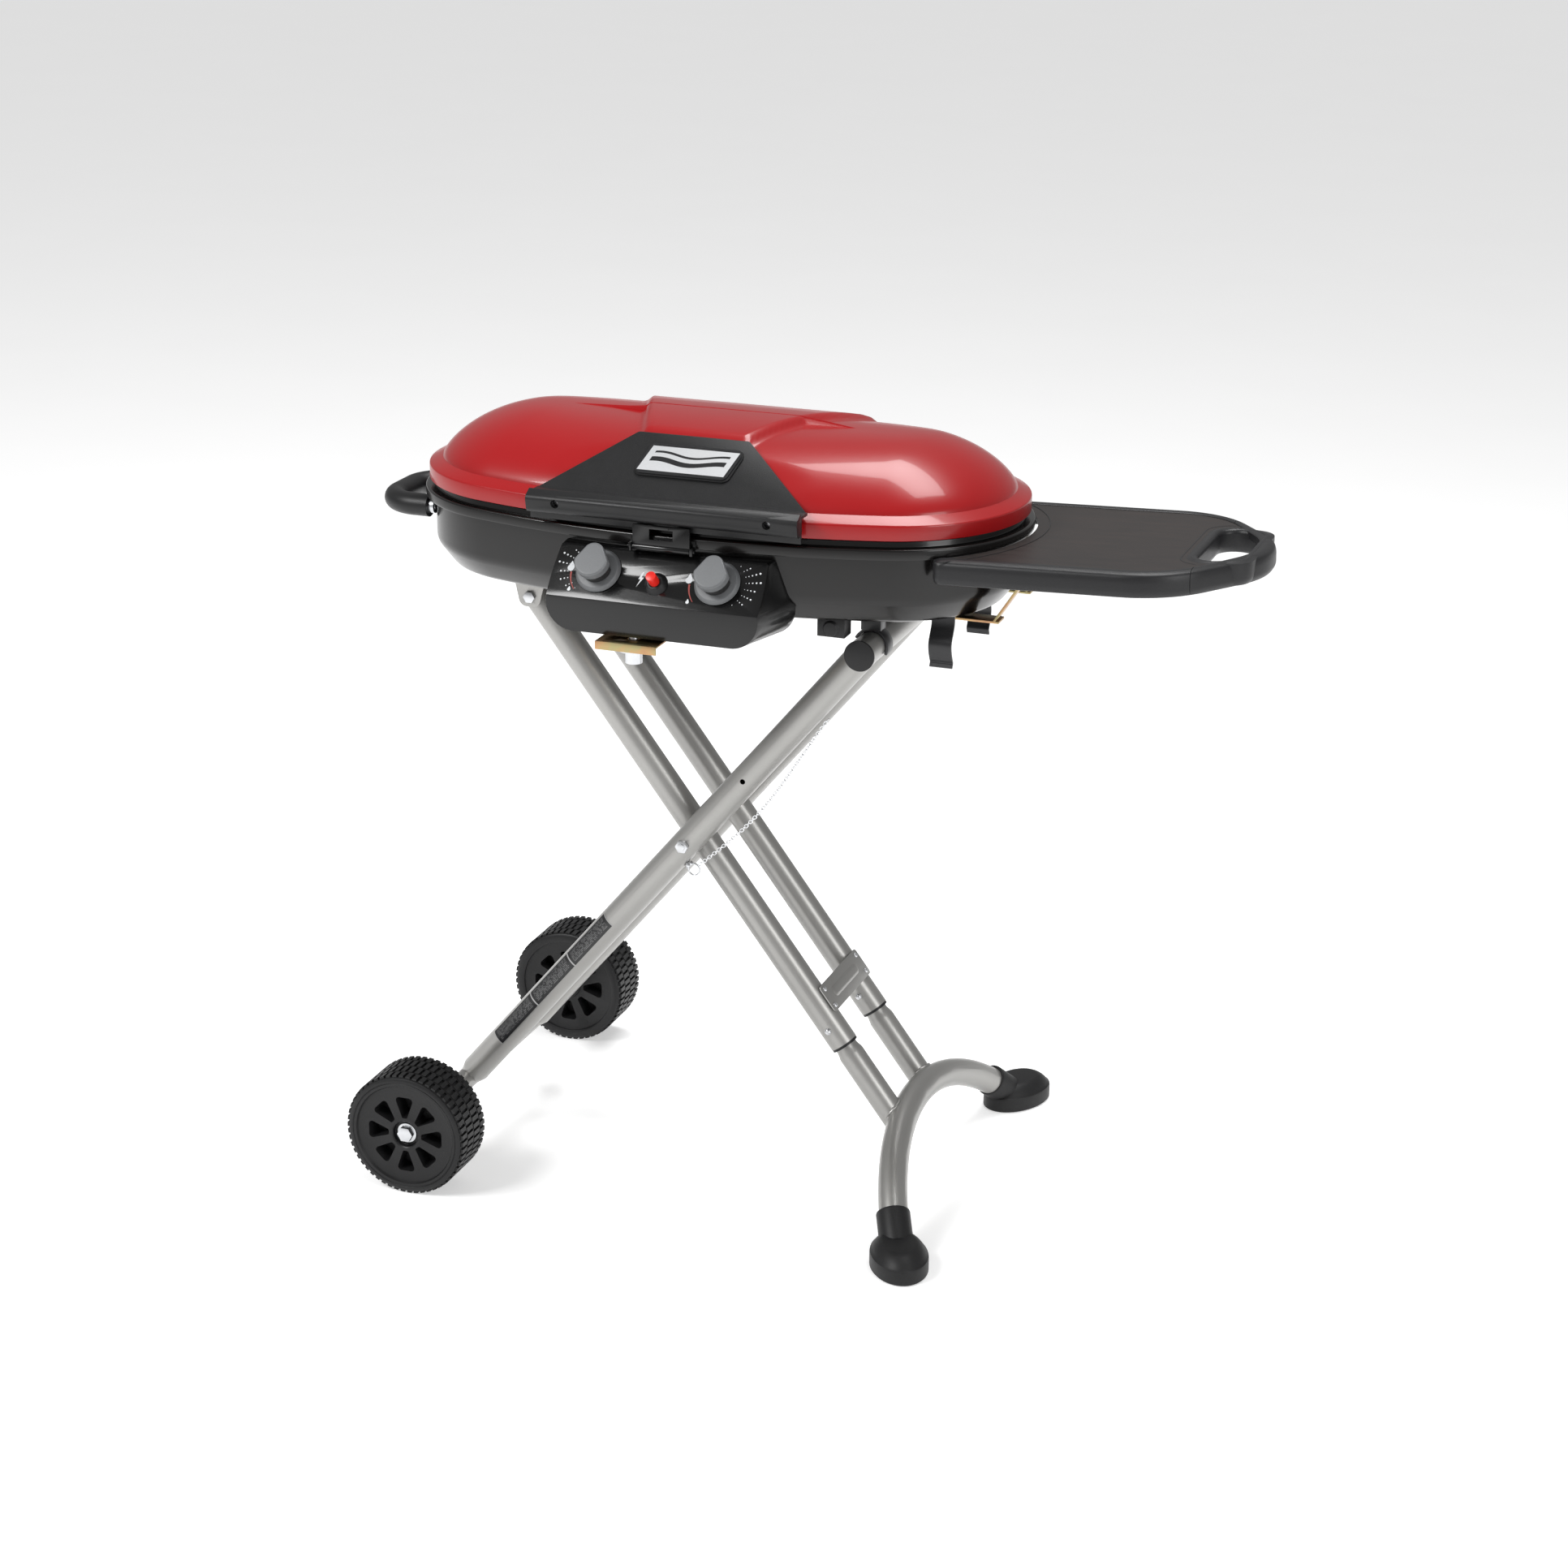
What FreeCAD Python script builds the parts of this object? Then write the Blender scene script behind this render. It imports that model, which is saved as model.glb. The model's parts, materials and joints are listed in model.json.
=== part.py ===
import FreeCAD, Part
import math
import os

# Roll-away gas grill: a clamshell cook box on two crossed pairs of tube legs.
# Millimetres, +Z up, -Y is the front with the control panel, +X is the side table.
# The pieces are drawn with x = 0 at the middle of the cook box; on export they are
# shifted so that the origin is under the middle of the whole grill, on the ground.

Vec = FreeCAD.Vector
X_AXIS, Y_AXIS, Z_AXIS = Vec(1, 0, 0), Vec(0, 1, 0), Vec(0, 0, 1)

# ---- driving dimensions -------------------------------------------------------------
# cook box
box_half_length = 330.0
box_half_depth = 171.0
box_end_radius = box_half_depth - 26.0
box_bottom_z = 680.0
knuckle_height = 26.0         # sloped band between the bottom and the upright wall
bottom_inset = 20.0
box_depth = 77.0              # bottom to the seat of the rim
sheet = 1.6
rim_outset = 10.0
rim_height = 11.0
rim_inner_inset = 14.0
seal_lip_height = 6.0
seal_lip_width = 4.0
# lid
lid_outset = 6.4
lid_gap = 8.0                 # open line between the rim and the skirt
skirt_height = 16.0
ledge_width = 15.0
ledge_rise = 7.0
dome_height = 60.0
lid_sheet = 1.8
facet_foot_inset = 2.0        # front facet, measured from the dome's foot
facet_top_y = -88.0
lid_open_angle = 100.0
# lid front plate, grip and badge
plate_half_bottom = 150.0
plate_half_top = 62.0
plate_thick = 3.0
grip_half_length = 150.0
grip_height = 27.0
grip_stand_off = 14.0
grip_wall = 3.4
grip_hole_half_spacing = 117.0
grip_hole_radius = 4.5
badge_length = 104.0
badge_width = 40.0
badge_thick = 2.5
# lid hinges and latch
hinge_half_spacing = 150.0
knuckle_length = 14.0
hinge_pin_radius = 2.5
hinge_barrel_radius = 5.0
hinge_behind_rim = 9.0
latch_half_width = 32.0
latch_length = 27.0
latch_thick = 3.0
latch_open_angle = 75.0
# control panel
panel_half_top = 118.0
panel_half_bottom = 150.0
panel_front_narrowing = 9.0
panel_corner_radius = 30.0
panel_top_z = 746.0
panel_bottom_z = 665.0
panel_top_y = -180.0
panel_lip_y = -220.0
panel_lip_z = 699.0
panel_wall = 2.5
knob_half_spacing = 66.0
knob_centre_z = 726.0
knob_skirt_radius = 25.0
knob_skirt_height = 6.0
knob_body_height = 13.0
knob_cap_height = 9.0
knob_cap_radius = 18.5
knob_tip_radius = 9.0
knob_tip_reach = 14.0
knob_turn = 120.0
valve_radius = 8.0
valve_length = 15.0
stem_radius = 4.0
igniter_centre_z = 720.0
igniter_socket_radius = 13.0
igniter_socket_height = 6.0
igniter_button_radius = 5.5
igniter_button_out = 20.0
igniter_travel = 6.0
igniter_module_length = 16.0
rail_below_valves = 24.0
# inside the cook box
grate_rise = 50.0             # underside of the grates above the box bottom
grate_bar = 6.0
grate_bar_pitch = 21.0
grate_gap = 3.0
tray_inset = 32.0
tray_height = 12.0
burner_tube_radius = 9.0
burner_ring_radius = 62.0
burner_rise = 27.0
burner_x = 135.0
rail_radius = 6.0
# side table
table_half_width = 138.0
table_start_x = 275.0
table_corner_x = 520.0
table_end_x = 600.0
table_end_half_width = 34.0
table_corner_radius = 100.0
table_end_radius = 95.0
table_rail_width = 17.0
table_rail_height = 26.0
table_sheet = 4.0
table_top_z = 757.0
table_rise_angle = 2.0
table_gap = 4.0
slot_half_length = 74.0
slot_inner_x = 532.0
slot_outer_x = 578.0
slot_round = 18.0
recess_margin = 26.0
# carrying handle
carry_arm_half_spacing = 55.0
carry_reach = 66.0            # from the wall to the far face of the handle
carry_radius = 12.5
carry_bend = 38.0
carry_height_z = 737.0
carry_spacer_length = 8.0
carry_bolt_radius = 4.0
# legs
tube_radius = 15.9
tube_wall = 1.5
inner_half_spacing = 53.0
outer_half_spacing = 87.5
leg_hinge_x = -202.0
leg_hinge_drop = 30.0         # leg hinge below the box bottom
inner_angle = 52.85           # below the horizontal
crossing_distance = 318.0     # leg hinge to crossing bolt
inner_upper_length = 603.0    # leg hinge to the end of the upper tubes
inner_tube_past_hinge = 15.0
outer_lower_length = 424.0    # crossing bolt to wheel axle
outer_upper_length = 315.0    # crossing bolt to cross tube
outer_tube_taper = 14.0       # rounded-off lower end of the outer tubes
cross_tube_half_length = 110.0
end_cap_thick = 3.0
collar_length = 9.0
foot_leg_radius = 14.6
plug_radius = 12.6
plug_depth = 55.0
bow_from_hinge = 703.0        # leg hinge to the top of the foot bow
bow_radius = 285.0
bow_angle = 60.0              # plane of the bow below the horizontal
bow_lift = 12.0               # middle of the bow above the axis of the legs
bow_end_height = 24.0
foot_half_length = 46.9
foot_half_width = 31.4
foot_pad_height = 17.0
foot_shoulder = 13.0
foot_sleeve_radius = 18.6
foot_sleeve_length = 26.0
foot_out = 27.0               # pad centre beyond the end of the bow
tie_from_end = 52.0
tie_width = 33.0
tie_thick = 1.6
spring_button_radius = 3.6
spring_button_from_end = 22.0
spring_button_travel = 3.5
leg_bolt_radius = 4.0
crossing_bolt_radius = 4.0
fold_rest_angle = 1.0         # inner legs below the horizontal when folded
fold_open_angle = 6.0         # between the two pairs when folded
# wheels
wheel_radius = 71.0
wheel_width = 62.0
wheel_inner_face_y = 196.0
wheel_rim_radius = 58.0
wheel_dish = 3.0              # both faces lie this far inside the tread
pocket_depth = 19.0
wheel_hub_radius = 15.0
axle_radius = 6.0
axle_tube_radius = 12.0
wheel_pockets = 8
pocket_angle = 29.0
hub_recess = 9.0
# under-box fittings
clip_wall = 3.0
clip_width = 17.0
clip_wrap_from = -65.0        # the clip wraps from over the tube to under it
clip_wrap_to = 115.0
clip_y = -66.0
clip_box_length = 30.0
hook_x = 268.0
hook_width = 25.0
hook_sheet = 2.5
regulator_x = -24.0
regulator_radius = 17.0
regulator_height = 8.0
regulator_drop = 9.0          # top of the regulator below the panel
inlet_radius = 9.0
inlet_bore_radius = 5.5
inlet_length = 14.0
# chain and lock pin
chain_radius = 2.2
pin_below_crossing = 20.0
pin_radius = 3.0
pin_travel = 24.0
chain_eye_above_crossing = 224.0
# clearances
running = 0.05
free = 0.3
seat = 0.02

# ---- worked-out places --------------------------------------------------------------
rim_z = box_bottom_z + box_depth
rim_top_z = rim_z + rim_height - 2.0
lid_z = rim_top_z + lid_gap
skirt_top_z = lid_z + skirt_height
dome_foot_z = skirt_top_z + ledge_rise
knuckle_z = box_bottom_z + knuckle_height
lid_half_length = box_half_length + lid_outset
lid_half_depth = box_half_depth + lid_outset

leg_hinge_z = box_bottom_z - leg_hinge_drop
inner_dir = Vec(math.cos(math.radians(inner_angle)), 0, -math.sin(math.radians(inner_angle)))
leg_hinge = Vec(leg_hinge_x, 0, leg_hinge_z)
crossing = leg_hinge + inner_dir * crossing_distance
outer_angle = math.degrees(math.asin((crossing.z - wheel_radius) / outer_lower_length))
outer_dir = Vec(math.cos(math.radians(outer_angle)), 0, math.sin(math.radians(outer_angle)))
outer_down = Vec(outer_dir.z, 0, -outer_dir.x)      # out of the underside of the outer legs
axle = crossing - outer_dir * outer_lower_length
cross_tube_at = crossing + outer_dir * outer_upper_length
inner_fold = inner_angle - fold_rest_angle
outer_fold = inner_angle + outer_angle - fold_open_angle

over_inner = Vec(-inner_dir.z, 0, inner_dir.x)
bow_middle = leg_hinge + inner_dir * bow_from_hinge + over_inner * bow_lift
bow_dir = Vec(math.cos(math.radians(bow_angle)), 0, -math.sin(math.radians(bow_angle)))
bow_end_drop = (bow_middle.z - bow_end_height) / -bow_dir.z
bow_end_turn = math.acos(1 - bow_end_drop / bow_radius)

face_run = Vec(0, panel_lip_y - panel_top_y, panel_lip_z - panel_top_z)
face_down = Vec(face_run).normalize()
face_out = Vec(0, face_down.z, -face_down.y)

hinge_y = box_half_depth + rim_outset + hinge_behind_rim
hinge_z = rim_top_z + 3.0
latch_y = -(box_half_depth + rim_outset + 3.0 + latch_thick)
latch_z = rim_z - 3.0
valve_pass_z = box_bottom_z + burner_rise
bracket_back_y = -box_half_depth + 21.0

# ---- helpers ------------------------------------------------------------------------
def solid(shape):
    """The one solid of a shape, with leftover seams removed."""
    return shape.removeSplitter().Solids[0]


def fuse(first, *others):
    return first.fuse(list(others)).removeSplitter()


def box(x0, x1, y0, y1, z0, z1):
    return Part.makeBox(x1 - x0, y1 - y0, z1 - z0, Vec(x0, y0, z0))


def rod(start, end, radius):
    run = end - start
    return Part.makeCylinder(radius, run.Length, start, run)


def pipe(start, end, outer, wall):
    return rod(start, end, outer).cut(rod(start, end, outer - wall))


def cone(start, end, first_radius, last_radius):
    run = end - start
    return Part.makeCone(first_radius, last_radius, run.Length, start, run)


def arc(centre, radius, start_angle, end_angle, z):
    """Arc in a level plane, angles in radians, as an edge."""
    def on_arc(angle):
        return Vec(centre.x + radius * math.cos(angle), centre.y + radius * math.sin(angle), z)
    middle = (start_angle + end_angle) / 2
    return Part.Arc(on_arc(start_angle), on_arc(middle), on_arc(end_angle)).toShape()


def oval(outset, z):
    """Plan outline of the cook box, moved outwards: two long arcs and two end arcs."""
    half_length = box_half_length + outset
    half_depth = box_half_depth + outset
    end = box_end_radius + outset
    reach = half_length - end
    side = (reach ** 2 + half_depth ** 2 - end ** 2) / (2 * (half_depth - end))
    join = math.atan2(side - half_depth, reach)
    right, left = Vec(reach, 0, 0), Vec(-reach, 0, 0)
    front, back = Vec(0, side - half_depth, 0), Vec(0, half_depth - side, 0)
    return Part.Wire([
        arc(right, end, -join, join, z),
        arc(back, side, join, math.pi - join, z),
        arc(left, end, math.pi - join, math.pi + join, z),
        arc(front, side, math.pi + join, 2 * math.pi - join, z),
    ])


def oval_slab(outset, z0, z1):
    return Part.Face(oval(outset, z0)).extrude(Vec(0, 0, z1 - z0))


def oval_loft(*levels):
    """Solid through ovals given as (outset, z) pairs."""
    return Part.makeLoft([oval(outset, z) for outset, z in levels], True, True)


def rounded_outline(points, radii):
    """Closed wire through corner points, each corner rounded by its own radius."""
    count = len(points)
    edges, ends = [], []
    for i in range(count):
        before, corner, after = points[i - 1], points[i], points[(i + 1) % count]
        to_before = (before - corner).normalize()
        to_after = (after - corner).normalize()
        radius = radii[i]
        if radius == 0:
            ends.append((corner, None, corner))
            continue
        half = to_before.getAngle(to_after) / 2
        cut = radius / math.tan(half)
        bisector = (to_before + to_after).normalize()
        middle = corner + bisector * (radius / math.sin(half) - radius)
        ends.append((corner + to_before * cut, middle, corner + to_after * cut))
    for i in range(count):
        start, middle, end = ends[i]
        if middle is not None:
            edges.append(Part.Arc(start, middle, end).toShape())
        next_start = ends[(i + 1) % count][0]
        if (next_start - end).Length > 1e-6:
            edges.append(Part.makeLine(end, next_start))
    return Part.Wire(edges)


def prism(points, radii, run):
    return Part.Face(rounded_outline(points, radii)).extrude(run)


def bent_rod(points, bend, radius):
    """Round bar along straight runs joined by equal bends."""
    edges, start, bends = [], points[0], []
    for i in range(1, len(points) - 1):
        to_before = (points[i - 1] - points[i]).normalize()
        to_after = (points[i + 1] - points[i]).normalize()
        half = to_before.getAngle(to_after) / 2
        cut = bend / math.tan(half)
        middle = points[i] + (to_before + to_after).normalize() * (bend / math.sin(half) - bend)
        first, last = points[i] + to_before * cut, points[i] + to_after * cut
        edges += [Part.makeLine(start, first), Part.Arc(first, middle, last).toShape()]
        start = last
    edges.append(Part.makeLine(start, points[-1]))
    run = (points[1] - points[0]).normalize()
    section = Part.Wire([Part.Circle(points[0], run, radius).toShape()])
    return Part.Wire(edges).makePipeShell([section], True, False)


def pair(make):
    """The same piece in front (-1) and behind (+1), as two separate solids."""
    return Part.makeCompound([solid(make(side)) for side in (-1, 1)])


def hexagon(at, out, across, height):
    """Hexagonal head standing on a point."""
    reach = across / math.sqrt(3)
    turned = FreeCAD.Rotation(Z_AXIS, out)
    corners = [at + turned.multVec(Vec(reach * math.cos(math.radians(60 * i)),
                                       reach * math.sin(math.radians(60 * i)), 0))
               for i in range(7)]
    return Part.Face(Part.makePolygon(corners)).extrude(out * height)


# ---- cook box -----------------------------------------------------------------------
def make_firebox():
    outer = oval_loft((-bottom_inset, box_bottom_z), (0, knuckle_z), (0.001, rim_z))
    inner = oval_loft((-bottom_inset - sheet, box_bottom_z + sheet), (-sheet, knuckle_z + sheet / 2),
                      (-sheet, rim_z + 1))
    shell = outer.cut(inner)
    for side in (-1, 1):
        x = side * knob_half_spacing
        shell = shell.cut(rod(Vec(x, 0, valve_pass_z), Vec(x, -box_half_depth - 5, valve_pass_z),
                              burner_tube_radius + free))
    return solid(shell)


def make_rim():
    ring = oval_slab(rim_outset, rim_z, rim_top_z).cut(oval_slab(-rim_inner_inset, rim_z - 1, rim_top_z + 1))
    lip = oval_slab(0, rim_top_z, rim_top_z + seal_lip_height)
    lip = lip.cut(oval_slab(-seal_lip_width, rim_top_z, rim_top_z + seal_lip_height))
    skirt = oval_slab(rim_outset, rim_z - 2, rim_z).cut(oval_slab(rim_outset - 2.5, rim_z - 2, rim_z))
    return solid(fuse(ring, lip, skirt))


def make_tray():
    z = box_bottom_z + sheet + seat
    outer = oval_slab(-tray_inset, z, z + tray_height)
    return solid(outer.cut(oval_slab(-tray_inset - sheet, z + sheet, z + tray_height + 1)))


def make_grate(side):
    """Half of the cooking surface: an oval frame, long bars and one cross bar."""
    z = box_bottom_z + grate_rise
    outset = -sheet - grate_gap
    near, far = side * grate_gap / 2, side * box_half_length
    half = box(min(near, far), max(near, far), -box_half_depth, box_half_depth, z, z + grate_bar)
    frame = oval_slab(outset, z, z + grate_bar)
    frame = frame.cut(oval_slab(outset - grate_bar, z, z + grate_bar)).common(half)
    inner = oval_slab(outset - 1, z, z + grate_bar).common(half)
    bars = []
    count = int((2 * box_half_depth) / grate_bar_pitch) // 2
    for i in range(-count, count + 1):
        y = i * grate_bar_pitch
        bars.append(box(-box_half_length, box_half_length, y - grate_bar / 2, y + grate_bar / 2,
                        z, z + grate_bar))
    for x in (near + side * grate_bar / 2, side * burner_x):
        bars.append(box(x - grate_bar / 2, x + grate_bar / 2, -box_half_depth, box_half_depth,
                        z, z + grate_bar))
    return solid(fuse(frame, fuse(*bars).common(inner)))


def make_burner(side):
    """Ring burner with its feed tube running to the front wall."""
    z = box_bottom_z + burner_rise
    ring = Part.makeTorus(burner_ring_radius, burner_tube_radius, Vec(side * burner_x, 0, z))
    feed_x = side * knob_half_spacing
    feed_y = -box_half_depth + sheet + 6
    turn = Vec(feed_x, -burner_ring_radius, z)
    feed = rod(Vec(feed_x, feed_y, z), turn, burner_tube_radius - 1)
    across = rod(turn, Vec(side * burner_x, -burner_ring_radius, z), burner_tube_radius - 1)
    return fuse(ring, feed, across, Part.makeSphere(burner_tube_radius - 1, turn))


def knob_at(side, out=0.0):
    """A point on a knob's axis, measured out from the sloped face of the panel."""
    y = panel_top_y + (knob_centre_z - panel_top_z) * face_run.y / face_run.z
    return Vec(side * knob_half_spacing, y, knob_centre_z) + face_out * out


def igniter_at(out=0.0):
    y = panel_top_y + (igniter_centre_z - panel_top_z) * face_run.y / face_run.z
    return Vec(0, y, igniter_centre_z) + face_out * out


def make_valve(side):
    body = rod(knob_at(side, -panel_wall - seat), knob_at(side, -panel_wall - valve_length), valve_radius)
    stem = rod(knob_at(side, -panel_wall - 1), knob_at(side, knob_skirt_height + knob_body_height - 4),
               stem_radius)
    return solid(fuse(body, stem))


def rail_at(side):
    return knob_at(side, -panel_wall - valve_length / 2) + face_down * rail_below_valves


def make_gas_rail():
    """Tube below both valves, with a stub to each and a drop to the regulator."""
    left, right = rail_at(-1), rail_at(1)
    rail = rod(left - X_AXIS * valve_radius, right + X_AXIS * valve_radius, rail_radius)
    stubs = [rod(at, at - face_down * (rail_below_valves - 2), rail_radius - 2) for at in (left, right)]
    drop = Vec(regulator_x, left.y, left.z)
    rail = fuse(rail, rod(drop, Vec(drop.x, drop.y, panel_bottom_z - 2), rail_radius - 1), *stubs)
    for side in (-1, 1):
        rail = rail.cut(rod(knob_at(side), knob_at(side, -40), valve_radius + seat))
    return solid(rail)


def rail_y():
    return rail_at(1).y


# ---- control panel ------------------------------------------------------------------
def panel_section(y, half_top, half_bottom, inset):
    top, bottom = panel_top_z + 2 - inset, panel_bottom_z + inset
    corners = [Vec(half_top - inset, y, top), Vec(-half_top + inset, y, top),
               Vec(-half_bottom + inset, y, bottom), Vec(half_bottom - inset, y, bottom)]
    low = panel_corner_radius - inset
    return rounded_outline(corners, [4, 4, low, low])


def panel_body(inset):
    """Tapered housing under its sloped face; inset moves every wall inwards."""
    back_y, front_y = -box_half_depth + 18, panel_lip_y + 2 + inset
    narrow = panel_front_narrowing
    body = Part.makeLoft([panel_section(back_y, panel_half_top, panel_half_bottom, inset),
                          panel_section(front_y, panel_half_top - narrow,
                                        panel_half_bottom - 3 * narrow, inset)], True, True)
    start = Vec(-200, panel_top_y, panel_top_z) - face_down * 60 - face_out * inset
    end = Vec(-200, panel_top_y, panel_top_z) + face_down * 120 - face_out * inset
    above = Part.Face(Part.makePolygon([start, end, end + face_out * 90, start + face_out * 90, start]))
    return body.cut(above.extrude(Vec(400, 0, 0)))


def make_panel():
    shell = panel_body(0).cut(panel_body(panel_wall))
    shell = shell.cut(box(-200, 200, -box_half_depth + 17, -box_half_depth + 30, 600, 800))
    shell = shell.cut(oval_loft((-bottom_inset + free, box_bottom_z - free), (free, knuckle_z),
                                (free, rim_z + 20)))
    back_opening = panel_body(panel_wall).common(box(-200, 200, -box_half_depth - 6, -100, 600, 800))
    shell = shell.cut(back_opening)
    shell = shell.cut(oval_slab(rim_outset + free, rim_z - 2 - free, rim_top_z))
    for side in (-1, 1):
        shell = shell.cut(rod(knob_at(side, -8), knob_at(side, 8), stem_radius + free))
    shell = shell.cut(rod(igniter_at(-8), igniter_at(8), igniter_button_radius + 2))
    shell = shell.cut(rod(Vec(regulator_x, rail_y(), panel_bottom_z - 9),
                          Vec(regulator_x, rail_y(), panel_bottom_z + 9), rail_radius + free))
    return solid(shell)


def knob_outline(base, reach, radius, tip):
    """Teardrop across the knob, its narrow end pointing up the face."""
    up = face_down * -1
    left, right = X_AXIS * -radius, X_AXIS * radius
    top = base + up * reach
    low = Part.Arc(base + right, base + face_down * radius, base + left).toShape()
    tip_left = top + X_AXIS * -tip
    tip_right = top + X_AXIS * tip
    return Part.Wire([low, Part.makeLine(base + left, tip_left),
                      Part.Arc(tip_left, top + up * (tip * 0.45), tip_right).toShape(),
                      Part.makeLine(tip_right, base + right)])


def make_knob_skirt(side):
    base, top = knob_at(side, 1.0), knob_at(side, knob_skirt_height)
    ring = cone(base, top, knob_skirt_radius, knob_skirt_radius - 3)
    return solid(ring.cut(rod(knob_at(side, -1), knob_at(side, 20), stem_radius + running)))


def make_knob_body(side):
    base = knob_at(side, knob_skirt_height + seat)
    wire = knob_outline(base, knob_tip_reach, knob_cap_radius - 2.5, knob_tip_radius - 2)
    body = Part.Face(wire).extrude(face_out * knob_body_height)
    bore = rod(knob_at(side, 0), knob_at(side, knob_skirt_height + knob_body_height - 4 + free),
               stem_radius + running)
    return solid(body.cut(bore))


def make_knob_cap(side):
    base = knob_at(side, knob_skirt_height + knob_body_height + 2 * seat)
    wire = knob_outline(base, knob_tip_reach + 2, knob_cap_radius, knob_tip_radius)
    cap = Part.Face(wire).extrude(face_out * knob_cap_height)
    top_edges = [edge for edge in cap.Edges
                 if all(abs((v.Point - base).dot(face_out) - knob_cap_height) < 0.01
                        for v in edge.Vertexes)]
    return solid(cap.makeFillet(2.5, top_edges))


def make_igniter_socket():
    socket = cone(igniter_at(seat), igniter_at(igniter_socket_height), igniter_socket_radius,
                  igniter_button_radius + 2.5)
    return solid(socket.cut(rod(igniter_at(-1), igniter_at(30), igniter_button_radius + running)))


def make_igniter_button():
    return rod(igniter_at(-igniter_travel), igniter_at(igniter_button_out), igniter_button_radius)


def make_igniter_module():
    start = -2 * igniter_travel - free
    return rod(igniter_at(start), igniter_at(start - igniter_module_length), igniter_button_radius + 2)


def make_regulator():
    """Round pressure regulator hanging under the panel, with its inlet nipple."""
    top = panel_bottom_z - regulator_drop
    at = Vec(regulator_x, rail_y(), top)
    body = rod(at, at - Z_AXIS * regulator_height, regulator_radius)
    neck = rod(at, at + Z_AXIS * (regulator_drop - 2 - seat), rail_radius - 1)
    inlet = rod(at - Z_AXIS * 2, at - Z_AXIS * (regulator_height + inlet_length), inlet_radius)
    bore_top = at - Z_AXIS * (regulator_height - 1)
    bore = rod(bore_top, bore_top - Z_AXIS * (inlet_length + 2), inlet_bore_radius)
    return solid(fuse(body, neck, inlet).cut(bore))


def make_regulator_bracket():
    """Bent strip that carries the regulator's neck below the panel."""
    y = rail_y()
    plate_top = panel_bottom_z - regulator_drop / 2
    x0, x1 = regulator_x - 34, regulator_x + 34
    plate = box(x0, x1, y - 24, bracket_back_y, plate_top - 2, plate_top)
    lip = box(x0, x1, y - 24, y - 22, plate_top - 9, plate_top)
    back = box(x0, x1, bracket_back_y - 2, bracket_back_y, plate_top - 1, box_bottom_z - seat)
    foot = box(x0, x1, bracket_back_y - 1, bracket_back_y + 20, box_bottom_z - 2 - seat,
               box_bottom_z - seat)
    strip = fuse(plate, lip, back, foot)
    return solid(strip.cut(rod(Vec(regulator_x, y, plate_top - 12), Vec(regulator_x, y, plate_top + 4),
                               rail_radius + free)))


# ---- lid ----------------------------------------------------------------------------
def dome(inset, foot_z, height):
    """Rounded dome in steps from the ledge up to the crown."""
    inset = ledge_width + inset
    steps = [(0.0, 0.0), (0.10, 0.30), (0.24, 0.56), (0.42, 0.77), (0.66, 0.93), (1.0, 1.0)]
    reach = box_end_radius + lid_outset - inset - 12
    return oval_loft(*[(lid_outset - inset - reach * step, foot_z + height * rise)
                       for step, rise in steps])


def front_facet(below):
    """Half-space in front of the flat front slope of the lid, moved down by a depth."""
    foot = Vec(-400, -(lid_half_depth - ledge_width - facet_foot_inset), dome_foot_z)
    top = Vec(-400, facet_top_y, dome_foot_z + dome_height - 4)
    run = (top - foot).normalize()
    out = Vec(0, -run.z, run.y)
    foot, top = foot - run * 60 - out * below, top + run * 60 - out * below
    corners = [foot, top, top + out * 90, foot + out * 90, foot]
    return Part.Face(Part.makePolygon(corners)).extrude(Vec(800, 0, 0))


def make_lid_shell():
    skirt = oval_slab(lid_outset, lid_z, skirt_top_z)
    ledge = oval_loft((lid_outset, skirt_top_z), (lid_outset - ledge_width, dome_foot_z))
    crown = dome(0, dome_foot_z, dome_height).cut(front_facet(0))
    inner_skirt = oval_slab(lid_outset - lid_sheet, lid_z - 1, skirt_top_z - lid_sheet)
    inner_ledge = oval_loft((lid_outset - lid_sheet, skirt_top_z - lid_sheet),
                            (lid_outset - ledge_width - lid_sheet, dome_foot_z - lid_sheet))
    inner_crown = dome(lid_sheet, dome_foot_z - lid_sheet, dome_height).cut(front_facet(lid_sheet))
    return solid(fuse(skirt, ledge, crown).cut(fuse(inner_skirt, inner_ledge, inner_crown)))


def make_lid_plate():
    """Black trapezoid plate over the lid's front slope, down to a lip below the skirt."""
    front_y = -(lid_half_depth + seat)
    foot_y = -(lid_half_depth - ledge_width - facet_foot_inset)
    foot = Vec(0, foot_y, dome_foot_z)
    top = Vec(0, facet_top_y, dome_foot_z + dome_height - 4)
    run = (top - foot).normalize()
    out = Vec(0, -run.z, run.y)
    lift = out * (0.3 + seat)
    low, high = foot + lift, foot + run * (top - foot).Length * 0.94 + lift
    corners = [low + X_AXIS * -plate_half_bottom, low + X_AXIS * plate_half_bottom,
               high + X_AXIS * plate_half_top, high + X_AXIS * -plate_half_top]
    slope = prism(corners, [0, 0, 6, 6], out * plate_thick)
    bridge = box(-plate_half_bottom, plate_half_bottom, front_y - plate_thick, low.y - 0.1,
                 dome_foot_z + 0.6, dome_foot_z + 0.6 + plate_thick)
    apron = box(-plate_half_bottom, plate_half_bottom, front_y - plate_thick, front_y - seat,
                lid_z - 2, dome_foot_z + 0.6 + plate_thick)
    return solid(fuse(slope, bridge, apron))


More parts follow.
